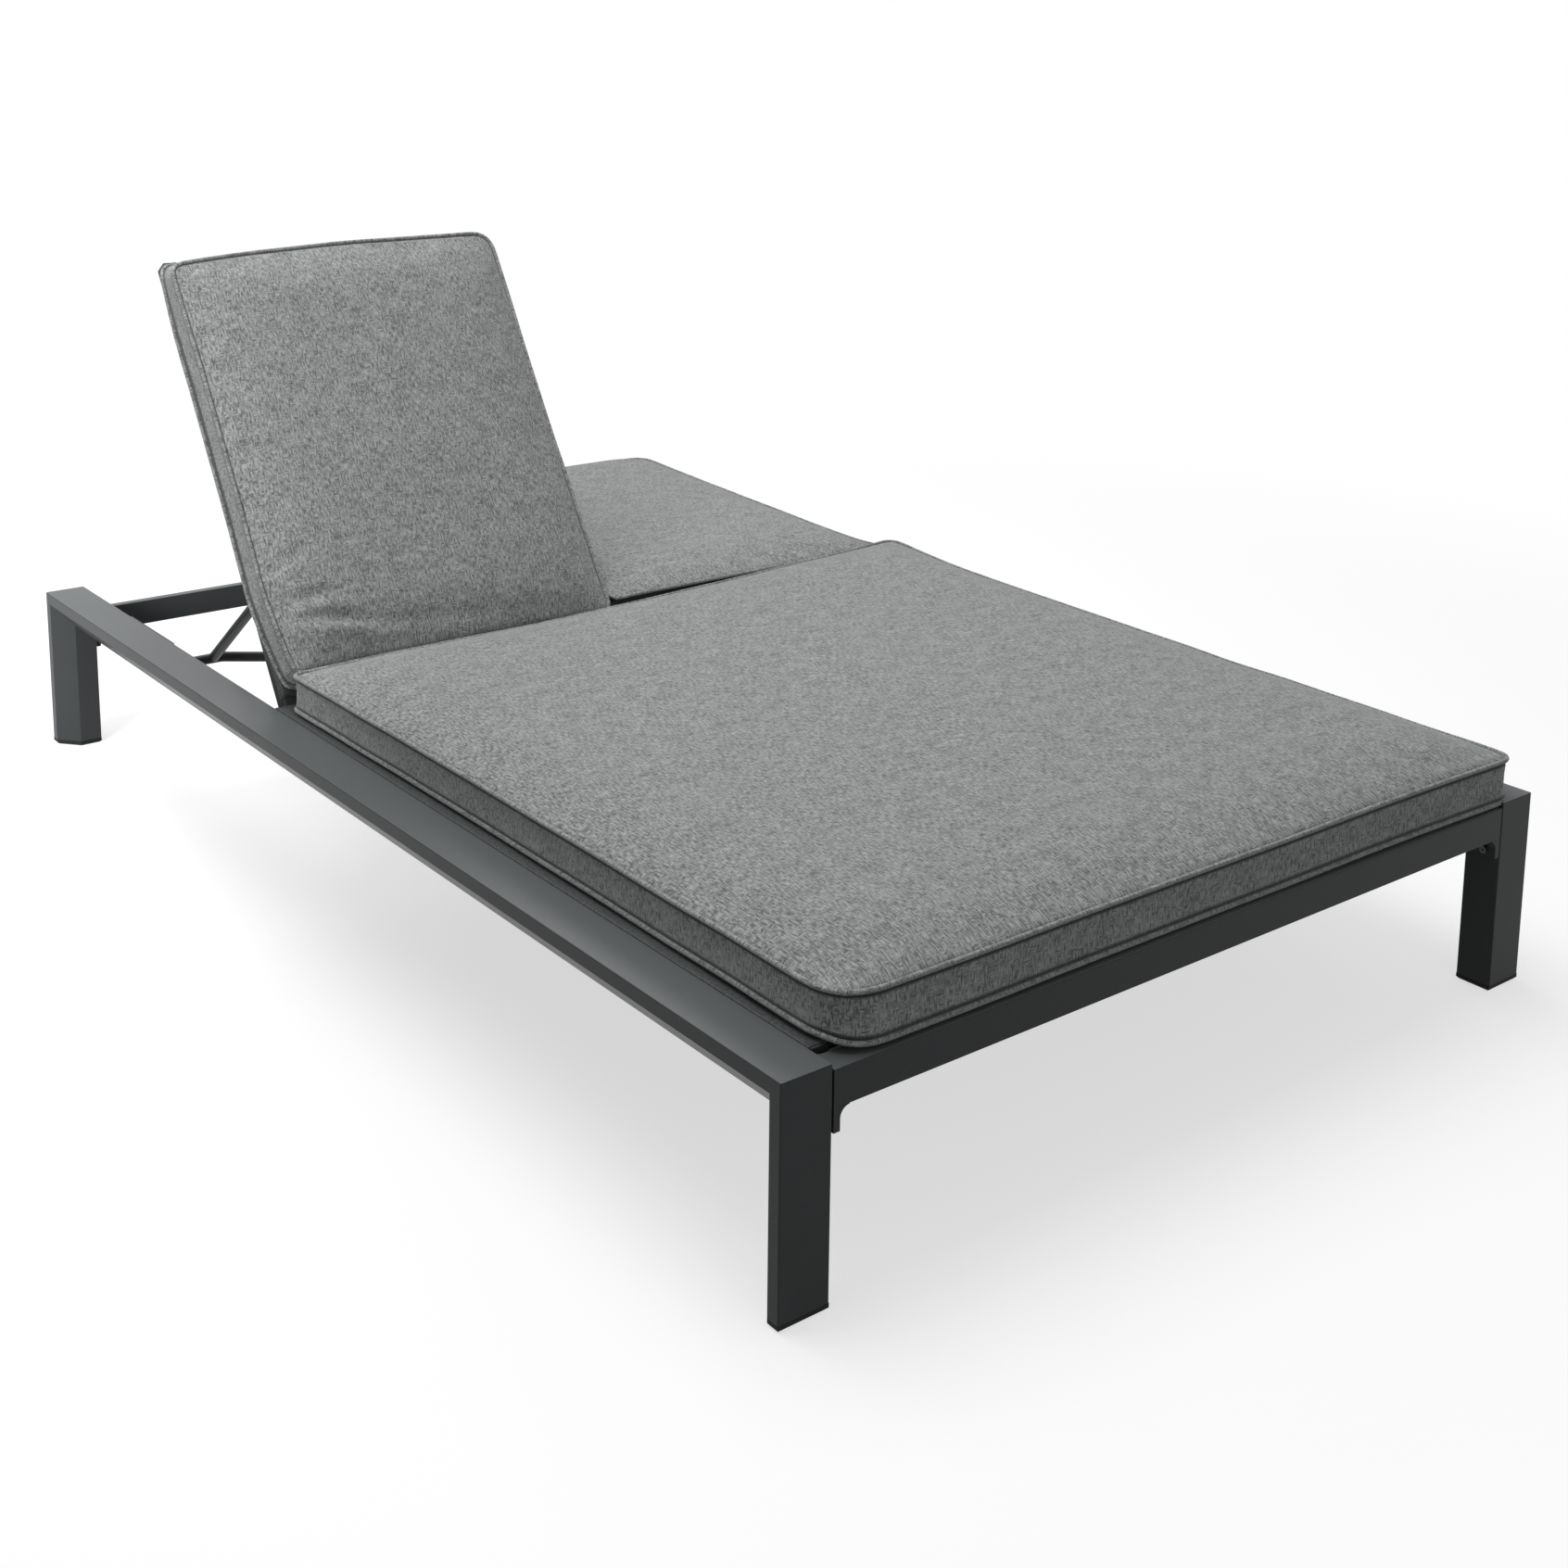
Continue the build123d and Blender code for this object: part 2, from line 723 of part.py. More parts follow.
def flange_sets():
    """Front face, depth, top and height of the foot rail and of the head rail."""
    return (
        (-half_length, foot_rail_depth, frame_height - foot_rail_drop, foot_rail_height),
        (head_rail_front, head_rail_depth, head_rail_top, head_rail_height),
    )


def drill_leg(leg, rail):
    """Bolt hole through the inner wall of a left leg."""
    y_front, depth, top, height = rail
    return leg - rod_across((-inner_face - rail_depth / 2, -inner_face + overrun), y_front + depth / 2,
                            flange_bolt_level(top - height), bolt_radius + bolt_clearance)


def frame_pieces():
    """Every fixed piece, as node name to list of solids."""
    foot_set, head_set = flange_sets()
    foot = foot_leg()
    head = mirror(foot, about=Plane.XZ)
    foot = drill_leg(foot, foot_set)
    head = drill_leg(head, head_set)
    glide = foot_glide()
    rail = side_rail()
    glides = both_sides(glide) + both_sides(mirror(glide, about=Plane.XZ))
    left_tube = (-inner_face + deck_side_gap, -inner_face + deck_side_gap + deck_tube_width)
    right_tube = (-left_tube[1], -left_tube[0])
    middle_tube = (-centre_tube_width / 2, centre_tube_width / 2)
    fronts = cross_rail_fronts()
    backs = [front + cross_rail_width for front in fronts]
    plate_face = -inner_face + end_plate_thickness
    flange_face = -inner_face + gasket_thickness + flange_thickness
    pins = [
        hinge_pin(-back_outer_face, outer_ear_range()[1]),
        hinge_pin(-back_inner_face, inner_ear_range()[0]),
    ]
    outer_rack = (-inner_face + rack_plate_thickness, -inner_face + rack_plate_thickness + rack_width)
    inner_rack = (-beam_width / 2 - rack_width, -beam_width / 2)
    pieces = {
        "side_rail_left": [rail],
        "side_rail_right": [mirrored(rail)],
        "foot_leg_left": [foot],
        "foot_leg_right": [mirrored(foot)],
        "head_leg_left": [head],
        "head_leg_right": [mirrored(head)],
        "leg_glides": glides,
        "foot_rail": [end_rail(*foot_set)],
        "head_rail": [end_rail(*head_set)],
        "rail_flanges": both_sides(flange(*foot_set)) + both_sides(flange(*head_set)),
        "flange_gaskets": both_sides(gasket(*foot_set)) + both_sides(gasket(*head_set)),
        "flange_bolts": [],
        "foot_cross_rail": [cross_rail(fronts[0])],
        "seat_cross_rail": [cross_rail(fronts[1])],
        "hinge_cross_rail": [cross_rail(fronts[2])],
        "cross_rail_end_plates": [],
        "cross_rail_bolts": [],
        "centre_beam_foot": [centre_beam((backs[0], fronts[1]))],
        "centre_beam_middle": [centre_beam((backs[1], fronts[2]))],
        "centre_beam_head": [centre_beam((backs[2], head_rail_front), head_beam_drop)],
        "seat_tube_left": [seat_tube(left_tube)],
        "seat_tube_centre": [seat_tube(middle_tube)],
        "seat_tube_right": [seat_tube(right_tube)],
        "seat_tube_caps": [],
        "seat_sling": [box_between((left_tube[0], right_tube[1]),
                                   (seat_tube_foot + sling_setback, seat_tube_head - sling_setback),
                                   (deck_tube_top, deck_top))],
        "hinge_ears": both_sides(hinge_ear(outer_ear_range())) + both_sides(hinge_ear(inner_ear_range())),
        "hinge_pins": pins + [mirrored(pin) for pin in pins],
        "rack_outer_left": [rack(outer_rack)],
        "rack_inner_left": [rack(inner_rack)],
        "rack_inner_right": [mirrored(rack(inner_rack))],
        "rack_outer_right": [mirrored(rack(outer_rack))],
        "rack_plates": both_sides(rack_plate()),
        "rack_screws": [],
        "seat_cushion": [seat_cushion()],
    }
    for y_front, depth, top, height in (foot_set, head_set):
        bolt = bolt_outwards(flange_face, y_front + depth / 2, flange_bolt_level(top - height))
        pieces["flange_bolts"] += both_sides(bolt)
    for front in fronts:
        pieces["cross_rail_end_plates"] += both_sides(end_plate(front))
    for y in cross_rail_bolt_places():
        pieces["cross_rail_bolts"] += both_sides(bolt_outwards(plate_face, y, bolt_level()))
    for span in (left_tube, middle_tube, right_tube):
        pieces["seat_tube_caps"] += [tube_cap(span, seat_tube_foot, -1), tube_cap(span, seat_tube_head, 1)]
    for y in rack_screw_places():
        pieces["rack_screws"] += both_sides(rack_screw(y))
    return pieces


def all_pieces():
    """The whole lounger: the left back raised, the right back lying in its lowest notch."""
    pieces = frame_pieces()
    for name, solids in back_pieces(raised_tilt).items():
        pieces["left_" + name] = solids
    for name, solids in back_pieces(lowered_tilt).items():
        pieces["right_" + name] = [mirrored(solid) for solid in solids]
    return pieces


def export(pieces):
    """One STEP file for each node."""
    for name, solids in pieces.items():
        bodies = [body for solid in solids for body in solid.solids()]
        shape = bodies[0] if len(bodies) == 1 else Compound(children=bodies)
        shape.label = name
        export_step(shape, f"parts/{name}.step")


export(all_pieces())
for side_tilt in (raised_tilt, lowered_tilt):
    place_y, place_z = prop_pivot(side_tilt)
    print("tilt", side_tilt, "prop pivot", round(place_y, 3), round(place_z, 3),
          "foot", round(prop_foot(side_tilt), 3), "spread", round(resting_spread(side_tilt), 4))
print("hinge", back_hinge_y, hinge_height, "prop ratio", round(prop_ratio(), 5))
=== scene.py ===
"""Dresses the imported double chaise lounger: cloth, slings, powder coat, studio."""

import json
from math import cos, pi, radians, sin

import bpy
import numpy as np
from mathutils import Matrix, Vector


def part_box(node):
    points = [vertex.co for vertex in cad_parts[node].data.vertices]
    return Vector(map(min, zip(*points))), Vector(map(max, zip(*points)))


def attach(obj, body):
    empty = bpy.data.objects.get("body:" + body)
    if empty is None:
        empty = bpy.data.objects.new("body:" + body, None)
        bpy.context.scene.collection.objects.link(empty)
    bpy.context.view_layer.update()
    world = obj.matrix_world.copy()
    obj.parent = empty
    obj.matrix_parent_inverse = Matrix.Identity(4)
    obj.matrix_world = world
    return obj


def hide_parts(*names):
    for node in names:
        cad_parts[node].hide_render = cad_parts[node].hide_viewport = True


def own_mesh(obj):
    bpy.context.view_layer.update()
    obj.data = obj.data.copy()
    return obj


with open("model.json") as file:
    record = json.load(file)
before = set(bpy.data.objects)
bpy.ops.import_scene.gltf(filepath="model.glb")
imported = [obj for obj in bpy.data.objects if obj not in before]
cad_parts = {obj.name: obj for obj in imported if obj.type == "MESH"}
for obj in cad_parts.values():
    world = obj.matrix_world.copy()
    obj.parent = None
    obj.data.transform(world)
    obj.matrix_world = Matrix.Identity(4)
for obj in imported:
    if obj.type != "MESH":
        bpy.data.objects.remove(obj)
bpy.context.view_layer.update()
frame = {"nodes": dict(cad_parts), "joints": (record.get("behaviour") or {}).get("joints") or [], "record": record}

bl_info = {
    "name": "Double chaise lounger",
    "version": (1, 0, 0),
    "blender": (4, 5, 0),
    "location": "View3D > Sidebar > Lounger",
    "description": "Builds the cushions, slings, finishes and studio of a double patio lounger",
    "category": "Object",
}

MM = 0.001
JOINTS = {joint["name"]: joint for joint in frame["joints"]}
# both backs turn about this line, and each joint's lowest angle lays its back flat
HINGE = Vector(JOINTS["back_left_tilt"]["pos_m"])
RAISED = radians(-JOINTS["back_left_tilt"]["range_deg"][0])
LOWERED = radians(-JOINTS["back_right_tilt"]["range_deg"][0])


# Small sizes of every cushion, in metres

SPARE = 0.003  # each side starts this far in and leaves the rest to the simulation
SWELL_CAP = 0.005  # the simulation moves no point further
SEAM_CAP_SHARE = 0.15  # share of that cap at a seam, which its cord holds
SEAM_CAP_REACH = 0.02  # from a seam to where the cap is whole
END_LINES = np.array([0.0, 0.004, 0.0095, 0.017, 0.028, 0.043])  # first lines of the grid from each end
BOXING_SHARES = (0.07, 0.16, 0.33, 0.5, 0.67, 0.84, 0.93)  # heights of the boxing's rows of points
DRAW_IN = 0.004  # a side is drawn in by this midway between its corners
BOXING_SWELL = 0.0035  # the boxing bulges by this at its mid-height
CROWN_REACH = 0.16  # from a seam inwards to where the crown is whole
FULL_TURN = 6.283  # of a ripple's sine, in radians and rounded as when the cushions were matched
RIPPLE_RISE = 0.0022  # slow unevenness of the top
RIPPLE_REACH = 0.05  # from a seam inwards to where that is whole
UNDER_RISE = 0.0045  # the underside turns up by this at its seam
UNDER_REACH = 0.035  # from a seam inwards to where it lies flat
FACE_FADE = 0.008  # height over which a pucker of the face comes in, across the top seam
CREASE_DEPTH = 0.0024  # the cloth sinks by this beside a seam
CREASE_REACH = 0.004  # from a seam to where a third of that is left
SHADE_FADE = 0.002  # width over which a seam's shade comes in
CORD_OUT = 0.0014  # a seam's cord lies this far outside it
MAP_STEP = 3.0  # the cloth's map keeps its parts this far from one another

# Small sizes of the seat cushion

SEAT_PITCH = 0.017  # of its grid
SEAT_WANDER = 0.0014  # slow wobble of the whole cover
SEAT_LEAN = 0.014  # the head edge leans to the head by this at its right end
SEAT_FULLER = 0.012  # more stuffing towards the right of the head edge
SEAT_EDGE_RISE = 0.008  # the head edge itself stands up by this where the right back laps on it
SEAT_EDGE_SHARES = (0.4, 0.8)  # across the cushion, where that rise starts and is whole
SEAT_HEAD_RISE = 0.006  # the head-right corner
SEAT_FOOT_RISE = 0.003  # the foot-left corner
SEAT_DROP = 0.008  # the bottom seam sinks by this onto the foot rail
SEAT_DROP_ENDS = (0.006, 0.036)  # from the foot end to where that drop is whole, and to where it ends
SEAT_SHADE = 0.008  # the boxing is shaded this far from its seams

# Small sizes of both back cushions, drawn flat about the hinge

BACK_PITCH = 0.0105  # of their grids
BACK_WANDER = 0.0012  # slow wobble of each cover
BACK_SHADE = 0.012  # the boxing is shaded this far from its seams
VALLEY = 0.007  # half the width of a pucker's valley
RIDGE = 0.009  # half the width of the low ridge below it
RIDGE_DOWN = 0.013  # from the valley to that ridge

# Small sizes of the left back cushion

LEFT_START = 0.021  # from the hinge to its heel
LEFT_HEEL_LEAN = 0.006  # the heel leans back by this from its rear seam to its face
LEFT_HANG = 0.022  # the face seam drops by this at the outer top corner
LEFT_HANG_ACROSS = (0.22, 0.54)  # from the middle to where that starts and is whole
LEFT_DRAW_IN = 0.022  # the outer side draws in by this at the heel
LEFT_SEAM_IN = 0.006  # its rear seam draws in by this more
LEFT_DRAW_ACROSS = (0.30, 0.54)  # from the middle to where that starts and is whole
LEFT_DRAW_REACH = 0.17  # from the hinge to where the side is straight again
LEFT_CORNER_IN, LEFT_CORNER_UP = 0.008, 0.009  # the rear seam's turn over the frame's corner
LEFT_CORNER_ACROSS, LEFT_CORNER_ALONG = (0.38, 0.53), (0.52, 0.68)  # where it starts and is whole
# each pucker's middle, slope, reach along it and depth
LEFT_PUCKERS = (
    ((-0.480, 0.130), 0.02, 0.045, 0.0120),
    ((-0.440, 0.092), -0.20, 0.062, 0.0150),
    ((-0.290, 0.070), -0.06, 0.080, 0.0060),
    ((-0.512, 0.185), 0.30, 0.040, 0.0045),
)

# Small sizes of the right back cushion

RIGHT_START = -0.046  # it laps against the seat cushion, past the hinge
RIGHT_HEEL_LEAN = 0.002  # the heel leans back by this from its rear seam to its face
RIGHT_FULLER = 0.005  # more stuffing everywhere
RIGHT_HEAD_FULLER = 0.008  # and towards the head
RIGHT_EDGE_RISE, RIGHT_EDGE_REACH = 0.005, 0.05  # the heel's own edge
RIGHT_PUCKERS = (
    ((0.40, 0.035), 0.22, 0.070, 0.0035),
    ((0.14, 0.030), -0.10, 0.060, 0.0025),
)

# Small sizes of the slings

SLING_THICKNESS = 0.0012
SLING_BEND = 0.0022  # radius of its turn over a tube's edge
SEAT_SLING_OUT, BACK_SLING_OUT = 0.0012, 0.0008  # each wraps its tubes this far outside the solid sling
SEAT_SLING_LIP, BACK_SLING_LIP = 0.016, 0.014  # and comes down their outer sides by this
SEAT_SLING_SINK = 0.0006  # below the top of the solid sling
SEAT_SLING_SAG = 0.0004
BACK_SLING_ENDS = (0.016, 0.703)  # from the hinge
BACK_SLING_HEIGHT = 0.0156  # above the hinge line

# The photo's camera, solved from the frame's straight edges and right angles

PHOTO_SPOT = (-1.69595, -2.42298, 1.24827)
PHOTO_TURN = (79.329, -1.0472, -39.3537)  # degrees
PHOTO_LENS, PHOTO_SENSOR = 48.1521, 36.0  # millimetres
PHOTO_SHIFT = (-0.05, -0.25)  # of the picture's width


# Sizes and colours


class LoungerSizes(bpy.types.PropertyGroup):
    """Sizes of the soft pieces."""

    seat_low: bpy.props.FloatVectorProperty(
        name="Seat cushion, low corner", description="Left, foot and bottom of the seat cushion",
        default=(-0.534, -1.001, 0.2585), unit="LENGTH")
    seat_high: bpy.props.FloatVectorProperty(
        name="Seat cushion, high corner", description="Right, head and top seam of the seat cushion",
        default=(0.572, 0.219, 0.3120), unit="LENGTH")
    seat_crown: bpy.props.FloatProperty(
        name="Seat crown", description="Rise of the seat cushion's top above its seam",
        default=0.0245, unit="LENGTH")
    seat_corners: bpy.props.FloatVectorProperty(
        name="Seat corners", description="Radii in plan: foot left, foot right, head left, head right",
        size=4, default=(0.054, 0.024, 0.014, 0.026), unit="LENGTH")
    back_sides: bpy.props.FloatVectorProperty(
        name="Back cushion, sides", description="Distance of a back cushion's two sides from the middle",
        size=2, default=(0.002, 0.542), unit="LENGTH")
    back_base: bpy.props.FloatProperty(
        name="Back cushion base", description="Height of a back cushion's underside above the hinge line",
        default=0.0165, unit="LENGTH")
    back_seam: bpy.props.FloatProperty(
        name="Back cushion top seam", description="Height of a back cushion's top seam above the hinge line",
        default=0.0770, unit="LENGTH")
    back_end: bpy.props.FloatProperty(
        name="Back cushion head end", description="Distance from the hinge to a back cushion's head end",
        default=0.696, unit="LENGTH")
    back_crown: bpy.props.FloatProperty(
        name="Back crown", description="Rise of a back cushion's face above its seam",
        default=0.0205, unit="LENGTH")
    left_corners: bpy.props.FloatVectorProperty(
        name="Left back corners", description="Radii in plan: heel left, heel right, head left, head right",
        size=4, default=(0.014, 0.020, 0.022, 0.034), unit="LENGTH")
    right_corners: bpy.props.FloatVectorProperty(
        name="Right back corners", description="Radii in plan: heel left, heel right, head left, head right",
        size=4, default=(0.010, 0.016, 0.030, 0.034), unit="LENGTH")
    piping: bpy.props.FloatProperty(
        name="Piping radius", description="Radius of the covered cord in the seams",
        default=0.0030, unit="LENGTH")
    raised: bpy.props.FloatProperty(
        name="Raised back", description="Tilt of the left back at rest", default=RAISED, unit="ROTATION")
    lowered: bpy.props.FloatProperty(
        name="Lowered back", description="Tilt of the right back at rest", default=LOWERED, unit="ROTATION")


class LoungerColours(bpy.types.PropertyGroup):
    """Colours of the finishes, as sRGB."""

    yarn_light: bpy.props.StringProperty(
        name="Light yarn", description="Pale thread of the cushion cloth", default="#A5A7A6")
    yarn_dark: bpy.props.StringProperty(
        name="Dark yarn", description="Dark thread of the cushion cloth", default="#5C5F5F")
    seam: bpy.props.StringProperty(
        name="Seam", description="Cloth in the shade of a seam", default="#2B2D2E")
    coat: bpy.props.StringProperty(
        name="Powder coat", description="Charcoal of the frame", default="#313334")
    # painted light: a paler colour for the frame's faces that look up, standing in for light from above
    painted_top_light: bpy.props.StringProperty(
        name="Painted top light", description="Paler film on the frame's faces that look up", default="#5A5D5E")
    mesh_light: bpy.props.StringProperty(
        name="Sling, pale yarn", description="Pale yarn of the sling mesh", default="#57595A")
    mesh_dark: bpy.props.StringProperty(
        name="Sling, dark yarn", description="Dark yarn of the sling mesh", default="#1D1E1F")


# Small helpers


def linear(code):
    """sRGB hex to linear RGBA: c / 12.92 below 0.04045, otherwise ((c + 0.055) / 1.055) ** 2.4."""
    c = np.array([int(code[i:i + 2], 16) for i in (1, 3, 5)]) / 255.0
    c = np.where(c <= 0.04045, c / 12.92, ((c + 0.055) / 1.055) ** 2.4)
    return (*c.tolist(), 1.0)


def node(tree, kind, settings=None, inputs=None, links=None):
    """Adds a shader node, with its settings, its input values and its input links."""
    made = tree.nodes.new(kind)
    for key, value in (settings or {}).items():
        setattr(made, key, value)
    for key, value in (inputs or {}).items():
        made.inputs[key].default_value = value
    for key, source in (links or {}).items():
        tree.links.new(source, made.inputs[key])
    return made


def new_material(name):
    """A material with an empty node tree and its output."""
    made = bpy.data.materials.new(name)
    made.use_nodes = True
    made.node_tree.nodes.clear()
    return made, made.node_tree, made.node_tree.nodes.new("ShaderNodeOutputMaterial")


def mesh_piece(name, points, faces, uvs=None):
    """Object from an array of points, an array of quads and one UV pair for each face corner."""
    mesh = bpy.data.meshes.new(name)
    mesh.vertices.add(len(points))
    mesh.vertices.foreach_set("co", np.asarray(points, np.float32).ravel())
    mesh.loops.add(faces.size)
    mesh.loops.foreach_set("vertex_index", faces.astype(np.int32).ravel())
    mesh.polygons.add(len(faces))
    mesh.polygons.foreach_set("loop_start", np.arange(0, faces.size, 4, dtype=np.int32))
    mesh.polygons.foreach_set("use_smooth", np.ones(len(faces), bool))
    mesh.update(calc_edges=True)
    mesh.validate()
    if uvs is not None:
        layer = mesh.uv_layers.new(name="cloth")
        layer.data.foreach_set("uv", np.asarray(uvs, np.float32).ravel())
    piece = bpy.data.objects.new(name, mesh)
    bpy.context.scene.collection.objects.link(piece)
    return piece


def points_of(piece):
    """Array of a piece's points."""
    found = np.empty(len(piece.data.vertices) * 3, np.float32)
    piece.data.vertices.foreach_get("co", found)
    return found.reshape(-1, 3).astype(float)


def set_points(piece, points):
    """Moves a piece's points to those of an array."""
    piece.data.vertices.foreach_set("co", points.astype(np.float32).ravel())
    piece.data.update()


def values_of(piece, name):
    """Array of a piece's attribute, one value for each point."""
    found = np.empty(len(piece.data.vertices), np.float32)
    piece.data.attributes[name].data.foreach_get("value", found)
    return found


def give_values(piece, name, values):
    """Gives a piece a new attribute with one value for each point."""
    piece.data.attributes.new(name, "FLOAT", "POINT").data.foreach_set("value", values)


def cell_corners(grid):
    """The four neighbours round each cell of a grid, as its third axis."""
    return np.stack([grid[:-1, :-1], grid[1:, :-1], grid[1:, 1:], grid[:-1, 1:]], 2)


def grid_quads(index, closed=False):
    """Quads between neighbours of a grid of point numbers; closed joins its last row to its first."""
    if closed:
        index = np.vstack([index, index[:1]])
    return cell_corners(index).reshape(-1, 4)


def ramp(value, start, end):
    """0 up to start, 1 from end on, and straight between them."""
    return np.clip((value - start) / (end - start), 0, 1)


def rise(distance, reach, power=3.6):
    """Rounded shoulder: 0 at the edge, 1 from reach inwards, as 1 - (1 - distance / reach) ** power."""
    return 1 - (1 - np.clip(distance / reach, 0, 1)) ** power


def ripple(x, y, seed):
    """Gentle unevenness of hand-stuffed cloth: the mean of nine slow sines.

    Each sine has a direction, a length in metres and a start of its own, drawn from a fixed seed.
    """
    random = np.random.default_rng(seed)
    waves, angles, lengths = 9, (0, 6.28), (0.12, 0.42)
    total = np.zeros_like(x)
    for _ in range(waves):
        turn, length, start = [random.uniform(*ends) for ends in (angles, lengths, angles)]
        total += np.sin(FULL_TURN * (x * cos(turn) + y * sin(turn)) / length + start)
    return total / waves


# Cushions


def grid_lines(size, pitch):
    """Places of grid lines from -size / 2 to size / 2: close together near both ends, pitch apart between."""
    last = END_LINES[-1]
    count = max(2, round((size - 2 * last) / pitch))
    inner = np.linspace(last, size - last, count + 1)[1:-1]
    return np.concatenate([END_LINES, inner, size - END_LINES[::-1]]) - size / 2


def rounded_grid(width, length, corners, pitch):
    """Points over a rectangle with four rounded corners, each of its own radius.

    In each corner square the point (u, v) goes to (u sqrt(1 - v^2 / 2), v sqrt(1 - u^2 / 2)),
    which lays the square on a quarter disc and leaves its inner borders where they are.
    """
    a, b = np.meshgrid(grid_lines(width, pitch), grid_lines(length, pitch), indexing="ij")
    corner = np.array(corners)[2 * (b > 0) + (a > 0)]
    u = np.clip(abs(a) - width / 2 + corner, 0, None) / corner
    v = np.clip(abs(b) - length / 2 + corner, 0, None) / corner
    x = np.sign(a) * (np.minimum(abs(a), width / 2 - corner) + corner * u * np.sqrt(1 - v ** 2 / 2))
    y = np.sign(b) * (np.minimum(abs(b), length / 2 - corner) + corner * v * np.sqrt(1 - u ** 2 / 2))
    return a, b, x, y


def rim_of(index):
    """Point numbers round the edge of a grid, anticlockwise from its first corner."""
    return np.concatenate([index[:-1, 0], index[-1, :-1], index[:0:-1, -1], index[0, :0:-1]])


def outward_of(loop):
    """Level normals of a closed loop that runs anticlockwise: its tangent (x, y) gives (y, -x)."""
    tangent = np.roll(loop, -1, 0) - np.roll(loop, 1, 0)
    normal = np.stack([tangent[:, 1], -tangent[:, 0], 0 * tangent[:, 0]], -1)
    return normal / np.linalg.norm(normal, axis=1)[:, None]


def run_of(loop):
    """Distance along a closed loop, with its whole length as the last value."""
    return np.append(0, np.cumsum(np.linalg.norm(np.diff(loop, axis=0, append=loop[:1]), axis=1)))


def boxed_cushion(size, heights, corners, pitch, seed):
    """Closed boxed cushion, centred in plan; heights are its underside, its top seam and its crown's rise.

    Top: seam + crown f(x) f(y), where f is the rounded shoulder, plus a slow ripple.
    Outline: drawn in between the corners, as 1 - t^2 along each side.
    Boxing: from the bottom seam to the top seam, swollen as sin(pi t).
    Underside: flat, and turned up towards its seam.
    Each point also gets its distance from the nearest seam, below zero on the boxing.
    """
    (width, length), (low, seam, crown) = size, heights
    a, b, x, y = rounded_grid(width, length, corners, pitch)
    edge_x, edge_y = width / 2 - abs(a), length / 2 - abs(b)
    x = x - np.sign(a) * DRAW_IN * abs(2 * a / width) ** 4 * (1 - (2 * b / length) ** 2)
    y = y - np.sign(b) * DRAW_IN * abs(2 * b / length) ** 4 * (1 - (2 * a / width) ** 2)
    wave = ripple(x, y, seed) * rise(edge_x, RIPPLE_REACH) * rise(edge_y, RIPPLE_REACH)
    top = seam + crown * rise(edge_x, CROWN_REACH) * rise(edge_y, CROWN_REACH) + RIPPLE_RISE * wave
    bottom = low + UNDER_RISE * (1 - rise(edge_x, UNDER_REACH, 2) * rise(edge_y, UNDER_REACH, 2))
    count = a.size
    top_index = np.arange(count).reshape(a.shape)
    bottom_index = top_index + count
    points = [np.stack([x, y, z], -1).reshape(-1, 3) for z in (top, bottom)]
    away = [np.minimum(edge_x, edge_y).ravel()] * 2
    rim = rim_of(top_index)
    high, deep = points[0][rim], points[1][rim]
    outward = outward_of(high)
    rings = [rim_of(bottom_index)]
    for number, t in enumerate(BOXING_SHARES):
        points.append(deep + (high - deep) * t + outward * BOXING_SWELL * sin(pi * t))
        away.append(np.full(len(rim), -min(t, 1 - t) * (seam - low)))
        rings.append(2 * count + number * len(rim) + np.arange(len(rim)))
    rings.append(rim)
    side = grid_quads(np.stack(rings, 1), closed=True)
    top_faces, bottom_faces = grid_quads(top_index), grid_quads(bottom_index)[:, ::-1]
    # the boxing's map runs along the seam and up the side, the others' lie flat
    rows = np.array([0, *BOXING_SHARES, 1]) * (seam - low)
    u, v = np.meshgrid(run_of(high), rows, indexing="ij")
    uv_side = cell_corners(np.stack([u, v + MAP_STEP], -1)).reshape(-1, 4, 2)
    flat = np.stack([x, y], -1).reshape(-1, 2)
    uvs = [flat[top_faces], flat[bottom_faces - count] + [MAP_STEP, 0], uv_side]
    faces = np.concatenate([top_faces, bottom_faces, side])
    return np.concatenate(points), faces, np.concatenate(uvs), np.concatenate(away), rings[0], rim


def swell(piece, floor):
    """Puffs a closed piece with a short cloth simulation.

    Air pressure pushes every face out for a few frames without gravity. No point then lies further than
    the cap from where it began, and none below the plane that the piece rests on. The cords hold the
    seams: there the cap is a small share of its value, and it grows to the whole further in.
    """
    scene = bpy.context.scene
    first, last = 1, 20
    before = points_of(piece)
    away = abs(values_of(piece, "seam_distance"))
    free = SWELL_CAP * np.clip(away / SEAM_CAP_REACH, SEAM_CAP_SHARE, 1)[:, None]
    cloth = piece.modifiers.new("Cloth", "CLOTH")
    settings = {
        "quality": 5,
        "mass": 0.4,
        "tension_stiffness": 40,
        "compression_stiffness": 40,
        "shear_stiffness": 20,
        "bending_stiffness": 2.0,
        "use_pressure": True,
        "uniform_pressure_force": 4.0,
    }
    for key, value in settings.items():
        setattr(cloth.settings, key, value)
    cloth.settings.effector_weights.gravity = 0.0
    cloth.point_cache.frame_start, cloth.point_cache.frame_end = first, last
    for number in range(first, last + 1):
        scene.frame_set(number)
    made = piece.evaluated_get(bpy.context.evaluated_depsgraph_get())
    move = points_of(made) - before
    size = np.linalg.norm(move, axis=1)[:, None]
    piece.modifiers.remove(cloth)
    scene.frame_set(first)
    after = before + move * np.minimum(1, free / np.maximum(size, 1e-9))
    after[:, 2] = np.maximum(after[:, 2], floor)
    set_points(piece, after)


